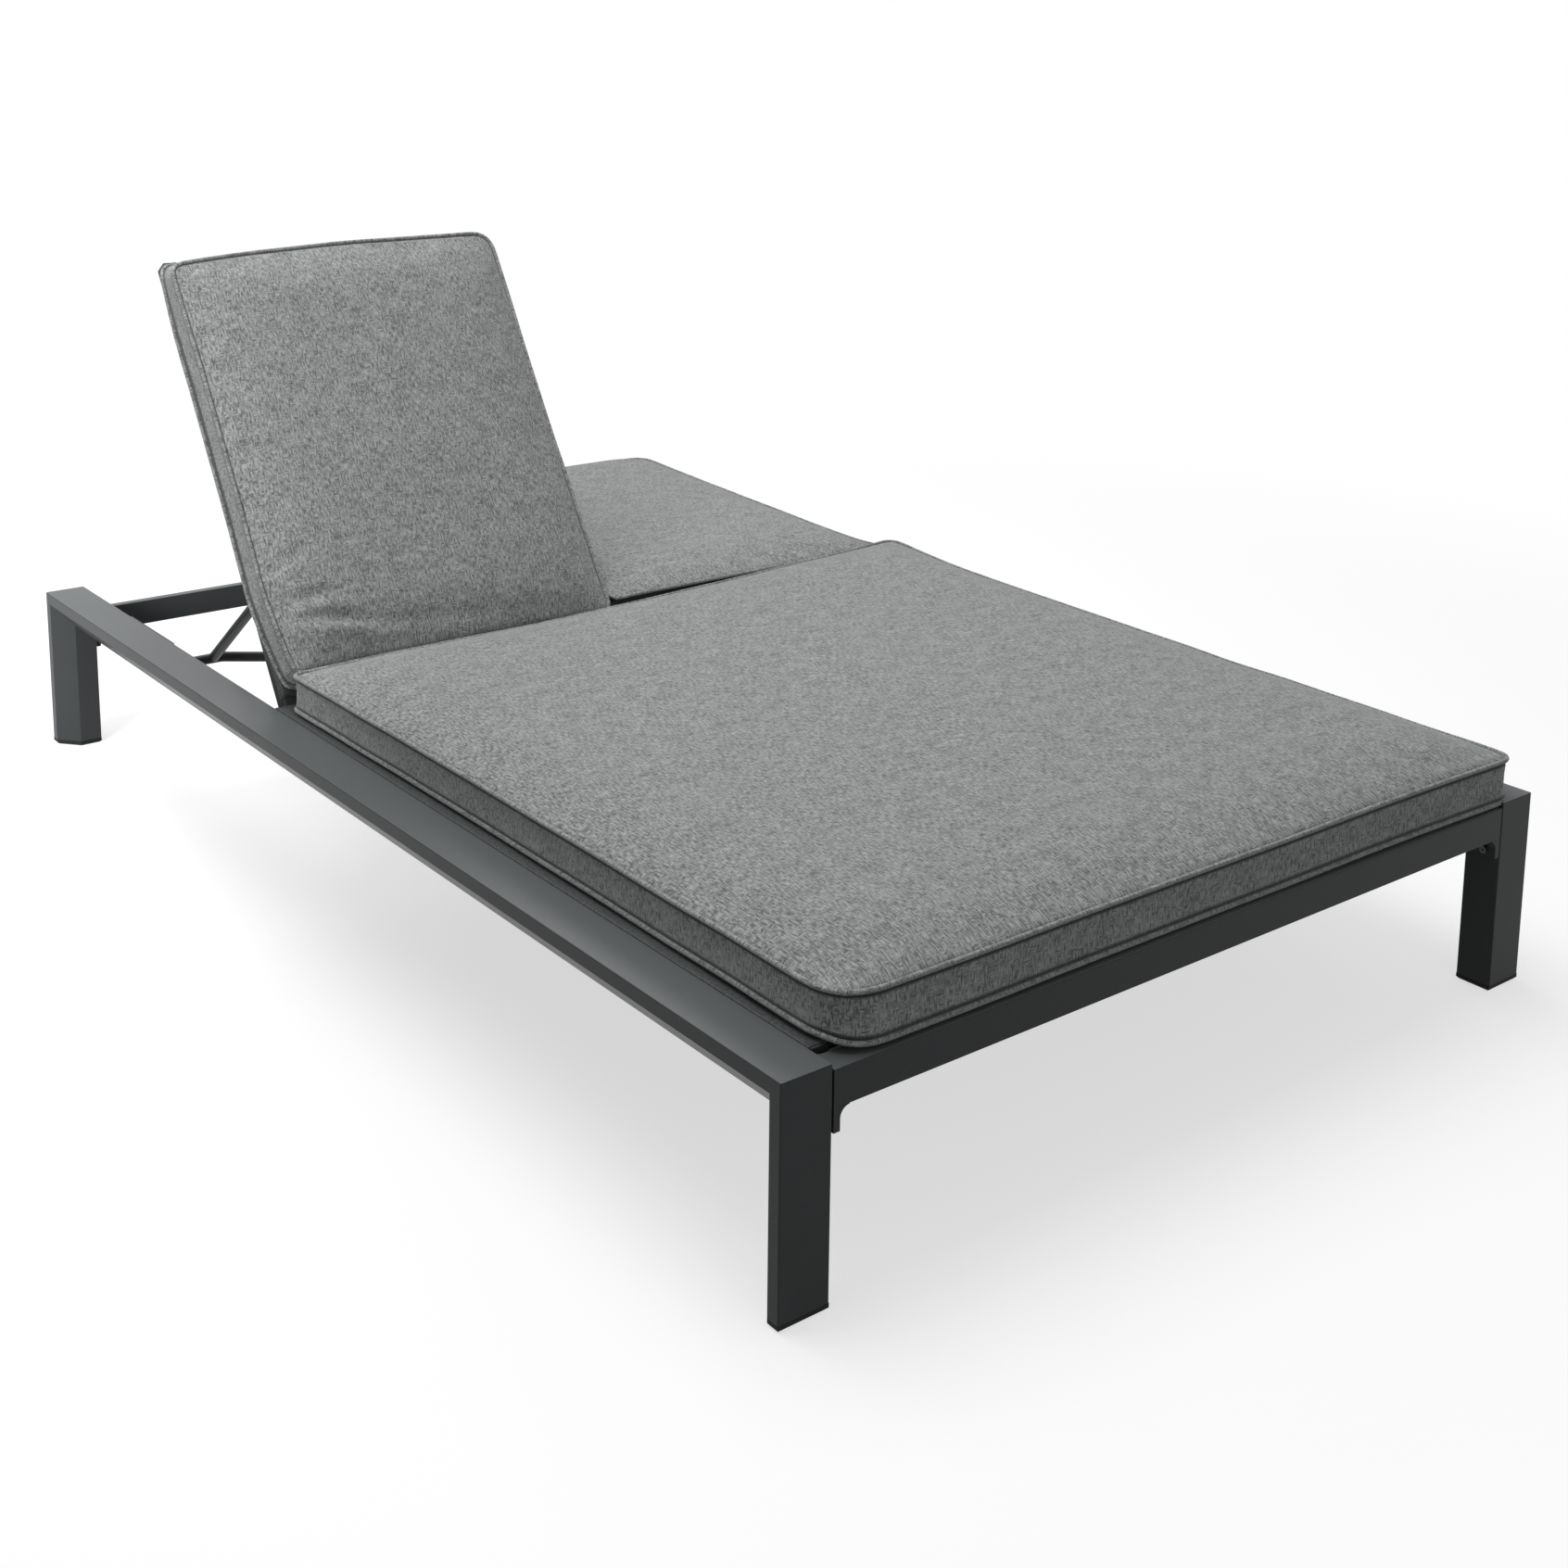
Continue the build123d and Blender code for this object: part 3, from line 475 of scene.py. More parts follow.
def piping_tube(loop, radius, sides=8):
    """Closed tube round a loop: centre + radius (n cos v + up sin v), with n the level normal."""
    tangent = np.roll(loop, -1, 0) - np.roll(loop, 1, 0)
    tangent /= np.linalg.norm(tangent, axis=1)[:, None]
    outward = outward_of(loop)
    up = np.cross(outward, tangent)
    v = np.linspace(0, 2 * pi, sides + 1)
    turn = v[:-1][None, :, None]
    skin = loop[:, None] + radius * (outward[:, None] * np.cos(turn) + up[:, None] * np.sin(turn))
    index = np.arange(len(loop) * sides).reshape(-1, sides)
    faces = grid_quads(np.concatenate([index, index[:, :1]], 1), closed=True)[:, ::-1]
    a, b = np.meshgrid(run_of(loop), radius * v, indexing="ij")
    uvs = cell_corners(np.stack([a, b], -1) + [2 * MAP_STEP, 0]).reshape(-1, 4, 2)
    return skin.reshape(-1, 3), faces, uvs[:, ::-1]


def add_part(piece, points, faces, uvs):
    """Joins more points and quads to a piece and keeps its UV map."""
    old_points = points_of(piece)
    mesh = piece.data
    old_faces = np.empty(len(mesh.loops), np.int32)
    mesh.loops.foreach_get("vertex_index", old_faces)
    old_uvs = np.empty(len(mesh.loops) * 2, np.float32)
    mesh.uv_layers["cloth"].data.foreach_get("uv", old_uvs)
    name = piece.name
    bpy.data.objects.remove(piece)
    bpy.data.meshes.remove(mesh)
    return mesh_piece(name, np.concatenate([old_points, points]),
                      np.concatenate([old_faces.reshape(-1, 4), faces + len(old_points)]),
                      np.concatenate([old_uvs.reshape(-1, 4, 2), uvs]))


def refine(piece):
    """One level of subdivision, made part of the mesh."""
    smooth = piece.modifiers.new("Subdivision", "SUBSURF")
    smooth.levels = smooth.render_levels = 1
    smooth.uv_smooth = "PRESERVE_BOUNDARIES"
    made = piece.evaluated_get(bpy.context.evaluated_depsgraph_get())
    mesh = bpy.data.meshes.new_from_object(made)
    piece.modifiers.clear()
    old, piece.data = piece.data, mesh
    bpy.data.meshes.remove(old)


def crease(piece, shaded):
    """Sinks the cloth beside its seams: each point goes in along its normal by depth exp(-(d / reach)^2).

    Returns the shade of each point: 1 on the boxing near a seam, 0 past the shaded width and on the faces.
    """
    away = values_of(piece, "seam_distance")
    normals = np.empty(len(away) * 3, np.float32)
    piece.data.vertices.foreach_get("normal", normals)
    sink = CREASE_DEPTH * np.exp(-(away / CREASE_REACH) ** 2)
    set_points(piece, points_of(piece) - normals.reshape(-1, 3) * sink[:, None])
    piece.data.attributes.remove(piece.data.attributes["seam_distance"])
    return ramp(away, -shaded, SHADE_FADE - shaded) * (1 - ramp(away, 0, SHADE_FADE))


def wander(points, amount, seed):
    """Slow wobble of the whole cover: amount times a ripple of its own for each direction."""
    x, y, z = points.T
    return points + amount * np.stack([ripple(x, y, seed + k) for k in range(3)], -1)


def densify(loop):
    """Closed loop with a midpoint between every two points, softened once by weights 1, 2, 1."""
    loop = np.stack([loop, (loop + np.roll(loop, -1, 0)) / 2], 1).reshape(-1, 3)
    return (np.roll(loop, 1, 0) + 2 * loop + np.roll(loop, -1, 0)) / 4


def make_cushion(name, size, heights, corners, pitch, seed, shape, radius, shaded):
    """A boxed, piped cushion: swollen, shaped by a function of its points, subdivided, creased and piped."""
    start_size = [side - 2 * SPARE for side in size]
    points, faces, uvs, away, low_rim, high_rim = boxed_cushion(start_size, heights, corners, pitch, seed)
    piece = mesh_piece(name, points, faces, uvs)
    give_values(piece, "seam_distance", away)
    swell(piece, heights[0])
    set_points(piece, shape(points_of(piece)))
    refine(piece)
    cords = [densify(points_of(piece)[rim]) for rim in (low_rim, high_rim)]
    shade = crease(piece, shaded)
    for loop in cords:
        piece = add_part(piece, *piping_tube(loop + CORD_OUT * outward_of(loop), radius))
    give_values(piece, "seam_shade", np.append(shade, np.zeros(len(piece.data.vertices) - len(shade))))
    return piece


def finish_cushion(piece, body, solid):
    """Cloth and body of a cushion, and hides its solid part."""
    piece.data.materials.clear()
    piece.data.materials.append(bpy.data.materials["Woven melange polyester"])
    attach(piece, body)
    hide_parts(solid)


class LOUNGER_OT_seat_cushion(bpy.types.Operator):
    """Make the wide seat cushion"""

    bl_idname = "lounger.seat_cushion"
    bl_label = "Seat cushion"

    def execute(self, context):
        s = context.scene.lounger_sizes
        low, high = Vector(s.seat_low), Vector(s.seat_high)
        middle = (low + high) / 2
        width, length = high.x - low.x, high.y - low.y

        def shape(points):
            """Moves the cushion to its place and gives its edges their unevenness.

            Its head edge leans to the head at the right, where the stuffing is fuller and the corner
            stands up, and the foot-left corner lifts a little. Past the end of the sling the bottom
            seam drops onto the foot rail.
            """
            x, y, z = wander(points, SEAT_WANDER, seed=40).T
            across = ramp(x, -width / 2, width / 2)
            along = ramp(y, -length / 2, length / 2)
            share = ramp(z, low.z, high.z)
            # the high powers keep each rise close to its edge or corner
            lift = share * (SEAT_FULLER * across ** 2 * along
                            + SEAT_EDGE_RISE * ramp(across, *SEAT_EDGE_SHARES) * along ** 24)
            lift += SEAT_HEAD_RISE * (across * along) ** 12
            lift += SEAT_FOOT_RISE * ((1 - across) * (1 - along)) ** 6
            drop = SEAT_DROP * (1 - share) * (1 - ramp(y + length / 2, *SEAT_DROP_ENDS))
            lean = SEAT_LEAN * across * along ** 2
            return np.stack([x + middle.x, y + middle.y + lean, np.maximum(z, low.z) + lift - drop], -1)

        piece = make_cushion("seat_cushion_cover", (width, length), (low.z, high.z, s.seat_crown),
                             s.seat_corners, pitch=SEAT_PITCH, seed=4, shape=shape, radius=s.piping,
                             shaded=SEAT_SHADE)
        finish_cushion(piece, "frame", "seat_cushion")
        return {"FINISHED"}


def tilt_points(points, turn):
    """Turns points about the hinge line by an angle and moves them to it."""
    x, y, z = points.T
    return np.stack([x, y * cos(turn) - z * sin(turn) + HINGE.y, y * sin(turn) + z * cos(turn) + HINGE.z], -1)


def tilt_piece(piece, turn):
    """Places a piece drawn flat about the hinge at its tilt."""
    set_points(piece, tilt_points(points_of(piece), turn))


def back_shares(s, z):
    """Two shares of a height on a back cushion: up the boxing, and into the face past its seam."""
    return (ramp(z, s.back_base, s.back_seam),
            ramp(z, s.back_seam - FACE_FADE / 2, s.back_seam + FACE_FADE / 2))


def fold(x, y, middle, slope, reach, deep):
    """A pucker in the cloth: a valley with a low ridge below it, along y = middle y + slope (x - middle x).

    Across it, with d the distance, deep (exp(-(d / valley)^2) - exp(-((d + down) / ridge)^2) / 2),
    and along it a bell of the given reach.
    """
    d = y - middle[1] - slope * (x - middle[0])
    bell = np.exp(-((x - middle[0]) / reach) ** 2)
    return deep * bell * (np.exp(-(d / VALLEY) ** 2) - 0.5 * np.exp(-((d + RIDGE_DOWN) / RIDGE) ** 2))


def back_cushion(s, name, side, turn, start, heel, seed, shape):
    """A back cushion drawn flat about the hinge and then tilted; side is -1 for the left."""
    inner, outer = s.back_sides
    width, length = outer - inner, s.back_end - start
    middle_x, middle_y = side * (inner + outer) / 2, start + length / 2

    def place(points):
        """Cuts the heel back by a slope in the height, then lets shape finish the points."""
        x, y, z = wander(points, BACK_WANDER, seed + 60).T
        z = np.maximum(z, s.back_base)
        share = np.clip(0.5 - y / length, 0, 1) ** 6
        lean = heel * np.clip((z - s.back_base) / (s.back_seam - s.back_base), 0, 1.1)
        return shape(np.stack([x + middle_x, y + middle_y + lean * share, z], -1))

    corners = s.left_corners if side < 0 else s.right_corners
    piece = make_cushion(name, (width, length), (s.back_base, s.back_seam, s.back_crown), corners,
                         pitch=BACK_PITCH, seed=seed, shape=place, radius=s.piping, shaded=BACK_SHADE)
    tilt_piece(piece, turn)
    return piece


class LOUNGER_OT_left_cushion(bpy.types.Operator):
    """Make the raised left back cushion"""

    bl_idname = "lounger.left_cushion"
    bl_label = "Left back cushion"

    def execute(self, context):
        s = context.scene.lounger_sizes

        def shape(points):
            """Lets the face hang at the outer top corner and puckers the cloth above the outer heel.

            The face seam drops there, and the rear seam turns in and up over the frame's corner.
            The outer side draws in towards the heel, its rear seam a little more.
            """
            x, y, z = points.T
            share, face = back_shares(s, z)
            pucker = sum(fold(x, y, *row) for row in LEFT_PUCKERS)
            hang = LEFT_HANG * ramp(-x, *LEFT_HANG_ACROSS) ** 2 * np.clip(y / s.back_end, 0, 1) ** 3
            corner = (1 - share) * (ramp(-x, *LEFT_CORNER_ACROSS) * ramp(y, *LEFT_CORNER_ALONG)) ** 2
            heel = (1 - ramp(y, 0, LEFT_DRAW_REACH)) ** 1.5 * ramp(-x, *LEFT_DRAW_ACROSS)
            inward = (LEFT_DRAW_IN + LEFT_SEAM_IN * (1 - share)) * heel + LEFT_CORNER_IN * corner
            return np.stack([x + inward, y - hang * share + LEFT_CORNER_UP * corner, z - face * pucker], -1)

        piece = back_cushion(s, "left_cushion_cover", side=-1, turn=s.raised, start=LEFT_START,
                             heel=LEFT_HEEL_LEAN, seed=11, shape=shape)
        finish_cushion(piece, "back_left", "left_cushion")
        return {"FINISHED"}


class LOUNGER_OT_right_cushion(bpy.types.Operator):
    """Make the lowered right back cushion"""

    bl_idname = "lounger.right_cushion"
    bl_label = "Right back cushion"

    def execute(self, context):
        s = context.scene.lounger_sizes

        def shape(points):
            """Puckers the cloth beside the seat cushion, and stuffs the pad fuller towards the head.

            The heel's own edge rises a little more, where it meets the seat cushion.
            """
            x, y, z = points.T
            share, face = back_shares(s, z)
            pucker = sum(fold(x, y, *row) for row in RIGHT_PUCKERS)
            fuller = RIGHT_FULLER + RIGHT_HEAD_FULLER * np.clip(y / s.back_end, 0, 1)
            fuller += RIGHT_EDGE_RISE * np.exp(-((y - RIGHT_START) / RIGHT_EDGE_REACH) ** 2)
            return np.stack([x, y, z + share * fuller - face * pucker], -1)

        piece = back_cushion(s, "right_cushion_cover", side=1, turn=s.lowered, start=RIGHT_START,
                             heel=RIGHT_HEEL_LEAN, seed=23, shape=shape)
        finish_cushion(piece, "back_right", "right_cushion")
        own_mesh(piece)
        return {"FINISHED"}


# Slings


def sling_sheet(name, sides, ends, height, lip, sag, across=61, along=81):
    """Mesh panel wrapped over two side tubes, drawn flat.

    Its profile runs up the left tube's outer side, turns over it on a quarter circle, dips by
    sag sin(pi t) across the opening and goes down on the right. The profile is carried along Y.
    """
    (left, right), (start, end) = sides, ends
    turn = np.linspace(0, pi / 2, 5)
    over_x, over_z = SLING_BEND * (1 - np.cos(turn)), SLING_BEND * np.sin(turn) - SLING_BEND
    t = np.linspace(0, 1, across)[1:-1]
    flat_x = left + SLING_BEND + (right - left - 2 * SLING_BEND) * t
    x = np.concatenate([[left], left + over_x, flat_x, right - over_x[::-1], [right]])
    z = np.concatenate([[-lip], over_z, -sag * np.sin(pi * t), over_z[::-1], [-lip]]) + height
    path = np.append(0, np.cumsum(np.hypot(np.diff(x), np.diff(z))))
    carried_y = np.linspace(start, end, along)
    wide, deep = np.meshgrid(x, carried_y, indexing="ij")
    points = np.stack([wide, deep, z[:, None] + 0 * deep], -1)
    flat = np.stack(np.meshgrid(path, carried_y, indexing="ij"), -1).reshape(-1, 2)
    faces = grid_quads(np.arange(wide.size).reshape(wide.shape))
    piece = mesh_piece(name, points.reshape(-1, 3), faces, flat[faces])
    thick = piece.modifiers.new("Thickness", "SOLIDIFY")
    thick.thickness, thick.offset = SLING_THICKNESS, -1
    return piece, (float(path[-1]), end - start)


def finish_sling(piece, body, solid):
    """Mesh cloth and body of a sling, and hides its solid part."""
    piece.data.materials.append(bpy.data.materials["PVC coated polyester mesh"])
    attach(piece, body)
    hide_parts(solid)


class LOUNGER_OT_slings(bpy.types.Operator):
    """Stretch the mesh slings over the deck and over both backs"""

    bl_idname = "lounger.slings"
    bl_label = "Slings"

    def execute(self, context):
        s = context.scene.lounger_sizes
        low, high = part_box("seat_sling")
        sides = (low.x - SEAT_SLING_OUT, high.x + SEAT_SLING_OUT)
        piece, cut = sling_sheet("seat_sling_cloth", sides, (low.y, high.y), high.z - SEAT_SLING_SINK,
                                 SEAT_SLING_LIP, SEAT_SLING_SAG)
        finish_sling(piece, "frame", "seat_sling")
        for word, turn in (("left", s.raised), ("right", s.lowered)):
            low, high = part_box(word + "_sling")
            sides = (low.x - BACK_SLING_OUT, high.x + BACK_SLING_OUT)
            piece, cut = sling_sheet(word + "_sling_cloth", sides, BACK_SLING_ENDS, BACK_SLING_HEIGHT,
                                     BACK_SLING_LIP, 0.0)
            tilt_piece(piece, turn)
            finish_sling(piece, "back_" + word, word + "_sling")
        return {"FINISHED"}


# Finishes


def cloth_material(colours):
    """Woven melange polyester: pale and dark fibres spun together, matt and slightly furry.

    Short slubs lie along both thread directions, over slow clouds where the dye took unevenly,
    and the cloth darkens in the shade of a seam.
    """
    made, tree, out = new_material("Woven melange polyester")
    uv = node(tree, "ShaderNodeUVMap", {"uv_map": "cloth"})
    # noise cells per metre: slubs 2 mm wide and 10 mm long both ways, coarser than the real yarn so that
    # they show, patches of 7 mm, fluff of 1 mm and clouds of 28 mm
    noises = []
    for scale in [(470, 104, 1), (110, 480, 1), (150, 150, 1), (1100, 1100, 1), (36, 36, 1)]:
        place = node(tree, "ShaderNodeMapping", inputs={"Scale": scale}, links={"Vector": uv.outputs["UV"]})
        noise = node(tree, "ShaderNodeTexNoise", {"noise_dimensions": "2D"},
                     {"Scale": 1.0, "Detail": 1.6, "Roughness": 0.5}, {"Vector": place.outputs["Vector"]})
        noises.append(noise.outputs["Fac"])
    warp, weft, patch, fluff, cloud = noises
    # where the warp lies on top its own slubs show, and elsewhere those of the weft
    above = node(tree, "ShaderNodeMapRange", inputs={"From Min": 0.50, "From Max": 0.62},
                 links={"Value": patch})
    slub = node(tree, "ShaderNodeMix", links={"Factor": above.outputs["Result"], "A": warp, "B": weft})
    grain = node(tree, "ShaderNodeMath", {"operation": "MULTIPLY_ADD"}, {1: 0.35},
                 {0: fluff, 2: slub.outputs["Result"]})
    total = node(tree, "ShaderNodeMath", {"operation": "MULTIPLY_ADD"}, {1: 0.20},
                 {0: cloud, 2: grain.outputs["Value"]})
    share = node(tree, "ShaderNodeMapRange", inputs={"From Min": 0.58, "From Max": 0.98},
                 links={"Value": total.outputs["Value"]})
    yarn = node(tree, "ShaderNodeMix", {"data_type": "RGBA"}, links={"Factor": share.outputs["Result"]})
    yarn.inputs["A"].default_value = linear(colours.yarn_dark)
    yarn.inputs["B"].default_value = linear(colours.yarn_light)
    seam = node(tree, "ShaderNodeAttribute", {"attribute_name": "seam_shade"})
    colour = node(tree, "ShaderNodeMix", {"data_type": "RGBA"},
                  links={"Factor": seam.outputs["Fac"], "A": yarn.outputs["Result"]})
    colour.inputs["B"].default_value = linear(colours.seam)
    # plain weave: bands of this scale repeat every 2 mm, coarser than the real 1 mm so that they show
    weave = [
        node(tree, "ShaderNodeTexWave", {"bands_direction": way, "wave_profile": "SIN"},
             {"Scale": 157.0, "Distortion": 0.6, "Detail": 0.0}, {"Vector": uv.outputs["UV"]})
        for way in ("X", "Y")
    ]
    cross = node(tree, "ShaderNodeMath", {"operation": "MULTIPLY"},
                 links={0: weave[0].outputs["Fac"], 1: weave[1].outputs["Fac"]})
    height = node(tree, "ShaderNodeMath", {"operation": "MULTIPLY_ADD"}, {1: 0.5},
                  {0: cross.outputs["Value"], 2: share.outputs["Result"]})
    bump = node(tree, "ShaderNodeBump", inputs={"Strength": 0.5, "Distance": 0.0006},
                links={"Height": height.outputs["Value"]})
    shader = node(tree, "ShaderNodeBsdfPrincipled",
                  inputs={"Roughness": 0.9, "Sheen Weight": 0.45, "Sheen Roughness": 0.4,
                          "Specular IOR Level": 0.25},
                  links={"Base Color": colour.outputs["Result"], "Normal": bump.outputs["Normal"]})
    tree.links.new(shader.outputs["BSDF"], out.inputs["Surface"])
    return made


def mesh_material(colours):
    """PVC coated polyester mesh: round yarns in an open plain weave, slightly shiny."""
    made, tree, out = new_material("PVC coated polyester mesh")
    uv = node(tree, "ShaderNodeUVMap", {"uv_map": "cloth"})
    # yarns of 1.1 mm, drawn at 2.5 mm so that the weave shows, with flecks of 4 mm
    bands = [
        node(tree, "ShaderNodeTexWave", {"bands_direction": way, "wave_profile": "SIN"},
             {"Scale": 125.0, "Distortion": 0.0, "Detail": 0.0}, {"Vector": uv.outputs["UV"]})
        for way in ("X", "Y")
    ]
    crest = node(tree, "ShaderNodeMath", {"operation": "MAXIMUM"},
                 links={0: bands[0].outputs["Fac"], 1: bands[1].outputs["Fac"]})
    fleck = node(tree, "ShaderNodeTexNoise", {"noise_dimensions": "2D"},
                 {"Scale": 240.0, "Detail": 2.0}, {"Vector": uv.outputs["UV"]})
    share = node(tree, "ShaderNodeMath", {"operation": "MULTIPLY"},
                 links={0: crest.outputs["Value"], 1: fleck.outputs["Fac"]})
    wide = node(tree, "ShaderNodeMapRange", inputs={"From Min": 0.15, "From Max": 0.7},
                links={"Value": share.outputs["Value"]})
    colour = node(tree, "ShaderNodeMix", {"data_type": "RGBA"}, links={"Factor": wide.outputs["Result"]})
    colour.inputs["A"].default_value = linear(colours.mesh_dark)
    colour.inputs["B"].default_value = linear(colours.mesh_light)
    bump = node(tree, "ShaderNodeBump", inputs={"Strength": 0.5, "Distance": 0.0005},
                links={"Height": crest.outputs["Value"]})
    shader = node(tree, "ShaderNodeBsdfPrincipled", inputs={"Roughness": 0.6},
                  links={"Base Color": colour.outputs["Result"], "Normal": bump.outputs["Normal"]})
    tree.links.new(shader.outputs["BSDF"], out.inputs["Surface"])
    return made


def speckled_material(name, base, flecks, rough, grain, depth, metallic=0.0, specular=0.12, painted_top_light=None):
    """A hard finish: base colour with fine flecks, and bumps of a grain and a depth in millimetres.

    The two colours meet by a noise of the same grain, and the roughness moves a little with a slow one.
    Painted light, where it is given, is a paler colour of the faces that look up, standing in for light from
    above: it comes in past 45 degrees.
    """
    made, tree, out = new_material(name)
    place = node(tree, "ShaderNodeTexCoord")
    fine = node(tree, "ShaderNodeTexNoise",
                inputs={"Scale": 1 / (grain * MM), "Detail": 2.0, "Roughness": 0.6},
                links={"Vector": place.outputs["Object"]})
    slow = node(tree, "ShaderNodeTexNoise", inputs={"Scale": 9.0, "Detail": 4.0},
                links={"Vector": place.outputs["Object"]})
    both = node(tree, "ShaderNodeMath", {"operation": "MULTIPLY_ADD"}, {1: 0.5},
                {0: slow.outputs["Fac"], 2: fine.outputs["Fac"]})
    share = node(tree, "ShaderNodeMapRange", inputs={"From Min": 0.5, "From Max": 1.0},
                 links={"Value": both.outputs["Value"]})
    colour = node(tree, "ShaderNodeMix", {"data_type": "RGBA"}, links={"Factor": share.outputs["Result"]})
    colour.inputs["A"].default_value = linear(base)
    colour.inputs["B"].default_value = linear(flecks)
    if painted_top_light:
        # painted light: faces that look up are made paler, standing in for light from above
        facing = node(tree, "ShaderNodeSeparateXYZ", links={"Vector": place.outputs["Normal"]})
        up = node(tree, "ShaderNodeMapRange", inputs={"From Min": 0.70, "From Max": 0.98},
                  links={"Value": facing.outputs["Z"]})
        colour = node(tree, "ShaderNodeMix", {"data_type": "RGBA"},
                      links={"Factor": up.outputs["Result"], "A": colour.outputs["Result"]})
        colour.inputs["B"].default_value = linear(painted_top_light)
    spread = 0.06
    shine = node(tree, "ShaderNodeMapRange", inputs={"To Min": rough - spread, "To Max": rough + spread},
                 links={"Value": slow.outputs["Fac"]})
    bump = node(tree, "ShaderNodeBump", inputs={"Strength": 0.4, "Distance": depth * MM},
                links={"Height": fine.outputs["Fac"]})
    shader = node(tree, "ShaderNodeBsdfPrincipled",
                  inputs={"Metallic": metallic, "Specular IOR Level": specular},
                  links={"Base Color": colour.outputs["Result"], "Roughness": shine.outputs["Result"],
                         "Normal": bump.outputs["Normal"]})
    tree.links.new(shader.outputs["BSDF"], out.inputs["Surface"])
    return made


class LOUNGER_OT_finishes(bpy.types.Operator):
    """Make every material and finish the hard pieces of the frame"""

    bl_idname = "lounger.finishes"
    bl_label = "Finishes"

    def execute(self, context):
        colours = context.scene.lounger_colours
        cloth_material(colours)
        mesh_material(colours)
        finishes = {
            # polyester powder baked on aluminium: matt charcoal with a fine orange-peel grain, and painted light
            # that makes its faces that look up paler
            "frame_coat": speckled_material(
                "Powder coated aluminium", colours.coat, flecks="#393B3C",
                rough=0.34, grain=0.9, depth=0.08, painted_top_light=colours.painted_top_light),
            # the same powder on pressed steel brackets
            "bracket_coat": speckled_material(
                "Powder coated steel", "#2F3132", flecks="#373939", rough=0.34, grain=0.9, depth=0.08),
            # turned steel with a black oxide: dark, with a dull shine and faint turning marks
            "fastener_steel": speckled_material(
                "Blackened stainless steel", "#3A3B3C", flecks="#4A4B4B",
                rough=0.42, grain=0.5, depth=0.03, metallic=1.0, specular=0.5),
            # moulded glass-filled nylon: near-black, dull, slightly pitted
            "black_nylon": speckled_material(
                "Moulded black nylon", "#1B1B1C", flecks="#242526", rough=0.62, grain=0.7, depth=0.06),
            # moulded rubber: black and dull
            "gasket_rubber": speckled_material(
                "Moulded rubber", "#121213", flecks="#18181A", rough=0.85, grain=1.0, depth=0.05),
        }
        slots = {entry["node"]: entry["material_slot"] for entry in frame["record"]["subparts"]}
        for name, piece in frame["nodes"].items():
            made = finishes.get(slots[name])
            if made:
                piece.data.materials.clear()
                piece.data.materials.append(made)
        return {"FINISHED"}


# Studio


def soft_lamp(name, spot, aim, size, watts, spread=180):
    """Rectangular softbox that looks at a point; a grid narrows its beam to spread degrees."""
    lamp = bpy.data.lights.new(name, "AREA")
    lamp.shape = "RECTANGLE"
    lamp.size, lamp.size_y = size
    lamp.energy = watts
    lamp.spread = radians(spread)
    holder = bpy.data.objects.new(name, lamp)
    bpy.context.scene.collection.objects.link(holder)
    holder.location = spot
    holder.rotation_euler = (Vector(aim) - Vector(spot)).to_track_quat("-Z", "Y").to_euler()
    return holder


def seen_directly(tree):
    """1 for camera, glossy and transmission rays, 0 for the rays that only light the object."""
    path = node(tree, "ShaderNodeLightPath")
    seen = node(tree, "ShaderNodeMath", {"operation": "MAXIMUM"},
                links={0: path.outputs["Is Camera Ray"], 1: path.outputs["Is Glossy Ray"]})
    return node(tree, "ShaderNodeMath", {"operation": "MAXIMUM"},
                links={0: seen.outputs["Value"], 1: path.outputs["Is Transmission Ray"]}).outputs["Value"]


def floor_material():
    """Painted floor: seen as white that keeps a soft shadow, and grey to the light that bounces off it."""
    made, tree, out = new_material("Painted studio floor")
    seen = seen_directly(tree)
    place = node(tree, "ShaderNodeTexCoord")
    away = node(tree, "ShaderNodeVectorMath", {"operation": "LENGTH"}, links={0: place.outputs["Object"]})
    # from 1.3 m out the shadow fades, and past 3.2 m the floor is plain white
    far = node(tree, "ShaderNodeMapRange", {"interpolation_type": "SMOOTHSTEP"},
               {"From Min": 1.3, "From Max": 3.2}, {"Value": away.outputs["Value"]})
    # near the object a pale paint takes the shadow, and a glow lifts it to white where it is lit
    grey = node(tree, "ShaderNodeBsdfDiffuse", inputs={"Color": linear("#8C8C8C")})
    pale = node(tree, "ShaderNodeBsdfDiffuse", inputs={"Color": linear("#ABABAB")})
    glow = node(tree, "ShaderNodeEmission", inputs={"Color": linear("#FFFFFF"), "Strength": 0.64})
    white = node(tree, "ShaderNodeEmission", inputs={"Color": linear("#FFFFFF"), "Strength": 1.0})
    near = node(tree, "ShaderNodeAddShader", links={0: pale.outputs["BSDF"], 1: glow.outputs["Emission"]})
    shown = node(tree, "ShaderNodeMixShader",
                 links={0: far.outputs["Result"], 1: near.outputs["Shader"], 2: white.outputs["Emission"]})
    mixed = node(tree, "ShaderNodeMixShader",
                 links={0: seen, 1: grey.outputs["BSDF"], 2: shown.outputs["Shader"]})
    tree.links.new(mixed.outputs["Shader"], out.inputs["Surface"])
    return made


def studio_world():
    """Surroundings that are seen as white and light the object dimly from all sides."""
    world = bpy.data.worlds.new("Studio")
    world.use_nodes = True
    tree = world.node_tree
    tree.nodes.clear()
    dim = node(tree, "ShaderNodeBackground", inputs={"Color": linear("#FFFFFF"), "Strength": 0.28})
    white = node(tree, "ShaderNodeBackground", inputs={"Color": linear("#FFFFFF"), "Strength": 1.0})
    mixed = node(tree, "ShaderNodeMixShader",
                 links={0: seen_directly(tree), 1: dim.outputs["Background"], 2: white.outputs["Background"]})
    node(tree, "ShaderNodeOutputWorld", links={"Surface": mixed.outputs["Shader"]})
    return world


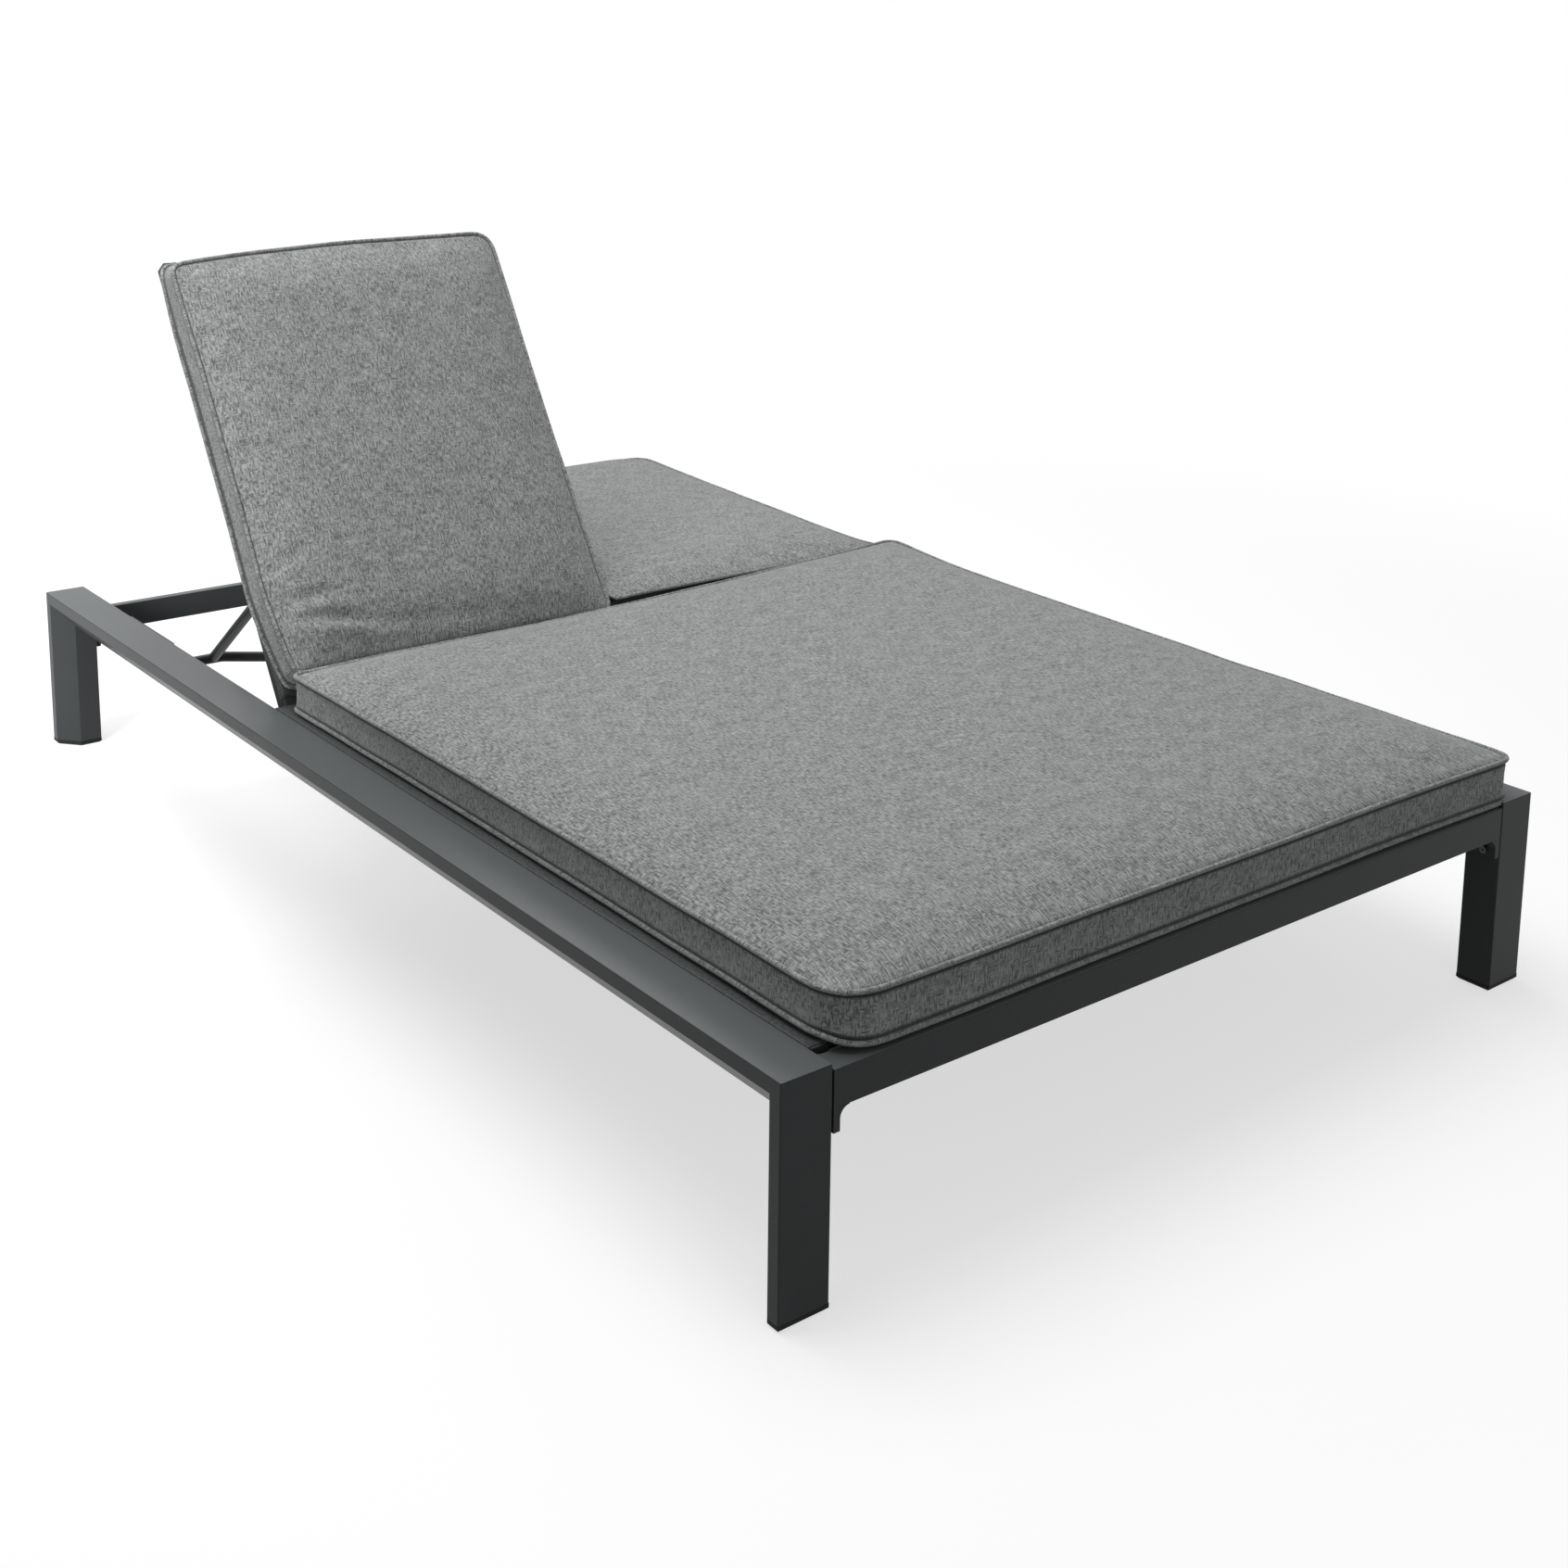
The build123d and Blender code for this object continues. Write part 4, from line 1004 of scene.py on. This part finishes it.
def photo_camera():
    """Camera at the photo's place, with its lens and its shift."""
    lens = bpy.data.cameras.new("Photo angle")
    lens.lens, lens.sensor_width = PHOTO_LENS, PHOTO_SENSOR
    lens.shift_x, lens.shift_y = PHOTO_SHIFT
    camera = bpy.data.objects.new("Photo angle", lens)
    bpy.context.scene.collection.objects.link(camera)
    camera.location = PHOTO_SPOT
    camera.rotation_euler = [radians(turn) for turn in PHOTO_TURN]
    return camera


class LOUNGER_OT_studio(bpy.types.Operator):
    """Set up the pale floor, the soft lamps, the white surroundings and the camera"""

    bl_idname = "lounger.studio"
    bl_label = "Studio"

    def execute(self, context):
        scene = context.scene
        scene.view_settings.view_transform = "Standard"
        size = 30.0
        corners = np.array([[-size, -size, 0], [size, -size, 0], [size, size, 0], [-size, size, 0]])
        floor = mesh_piece("studio_floor", corners, np.array([[0, 1, 2, 3]]))
        floor.data.materials.append(floor_material())
        lamps = [
            soft_lamp("key_lamp", spot=(-0.6, 0.4, 3.4), aim=(0, 0.1, 0.2), size=(2.8, 2.8), watts=96),
            soft_lamp("side_lamp", spot=(-2.6, -0.3, 1.0), aim=(-1.0, 1.3, 0.24), size=(1.2, 0.8), watts=14,
                      spread=52),
            soft_lamp("front_lamp", spot=(-0.6, -4.6, 2.0), aim=(0, -0.4, 0.2), size=(3.0, 1.8), watts=13),
            soft_lamp("far_lamp", spot=(1.6, 2.6, 2.2), aim=(0.1, 0.4, 0.3), size=(1.8, 1.2), watts=20),
        ]
        scene.world = studio_world()
        scene.camera = photo_camera()
        return {"FINISHED"}


class LOUNGER_PT_panel(bpy.types.Panel):
    """Lists the lounger's sizes, colours and pieces"""

    bl_idname = "LOUNGER_PT_panel"
    bl_label = "Lounger"
    bl_space_type = "VIEW_3D"
    bl_region_type = "UI"
    bl_category = "Lounger"

    def draw(self, context):
        for group in (context.scene.lounger_sizes, context.scene.lounger_colours):
            for key in group.__annotations__:
                self.layout.prop(group, key)
        for step in STEPS:
            self.layout.operator(step.bl_idname)


STEPS = (
    LOUNGER_OT_finishes,
    LOUNGER_OT_slings,
    LOUNGER_OT_seat_cushion,
    LOUNGER_OT_left_cushion,
    LOUNGER_OT_right_cushion,
    LOUNGER_OT_studio,
)
CLASSES = (LoungerSizes, LoungerColours, *STEPS, LOUNGER_PT_panel)


def register():
    """Registers the classes and hangs the two property groups on the scene."""
    for item in CLASSES:
        bpy.utils.register_class(item)
    bpy.types.Scene.lounger_sizes = bpy.props.PointerProperty(type=LoungerSizes)
    bpy.types.Scene.lounger_colours = bpy.props.PointerProperty(type=LoungerColours)


def unregister():
    """Undoes register."""
    del bpy.types.Scene.lounger_colours
    del bpy.types.Scene.lounger_sizes
    for item in reversed(CLASSES):
        bpy.utils.unregister_class(item)


def main():
    """Builds every piece in order."""
    register()
    bpy.ops.lounger.finishes()
    bpy.ops.lounger.slings()
    bpy.ops.lounger.seat_cushion()
    bpy.ops.lounger.left_cushion()
    bpy.ops.lounger.right_cushion()
    bpy.ops.lounger.studio()


if __name__ == "__main__":
    main()
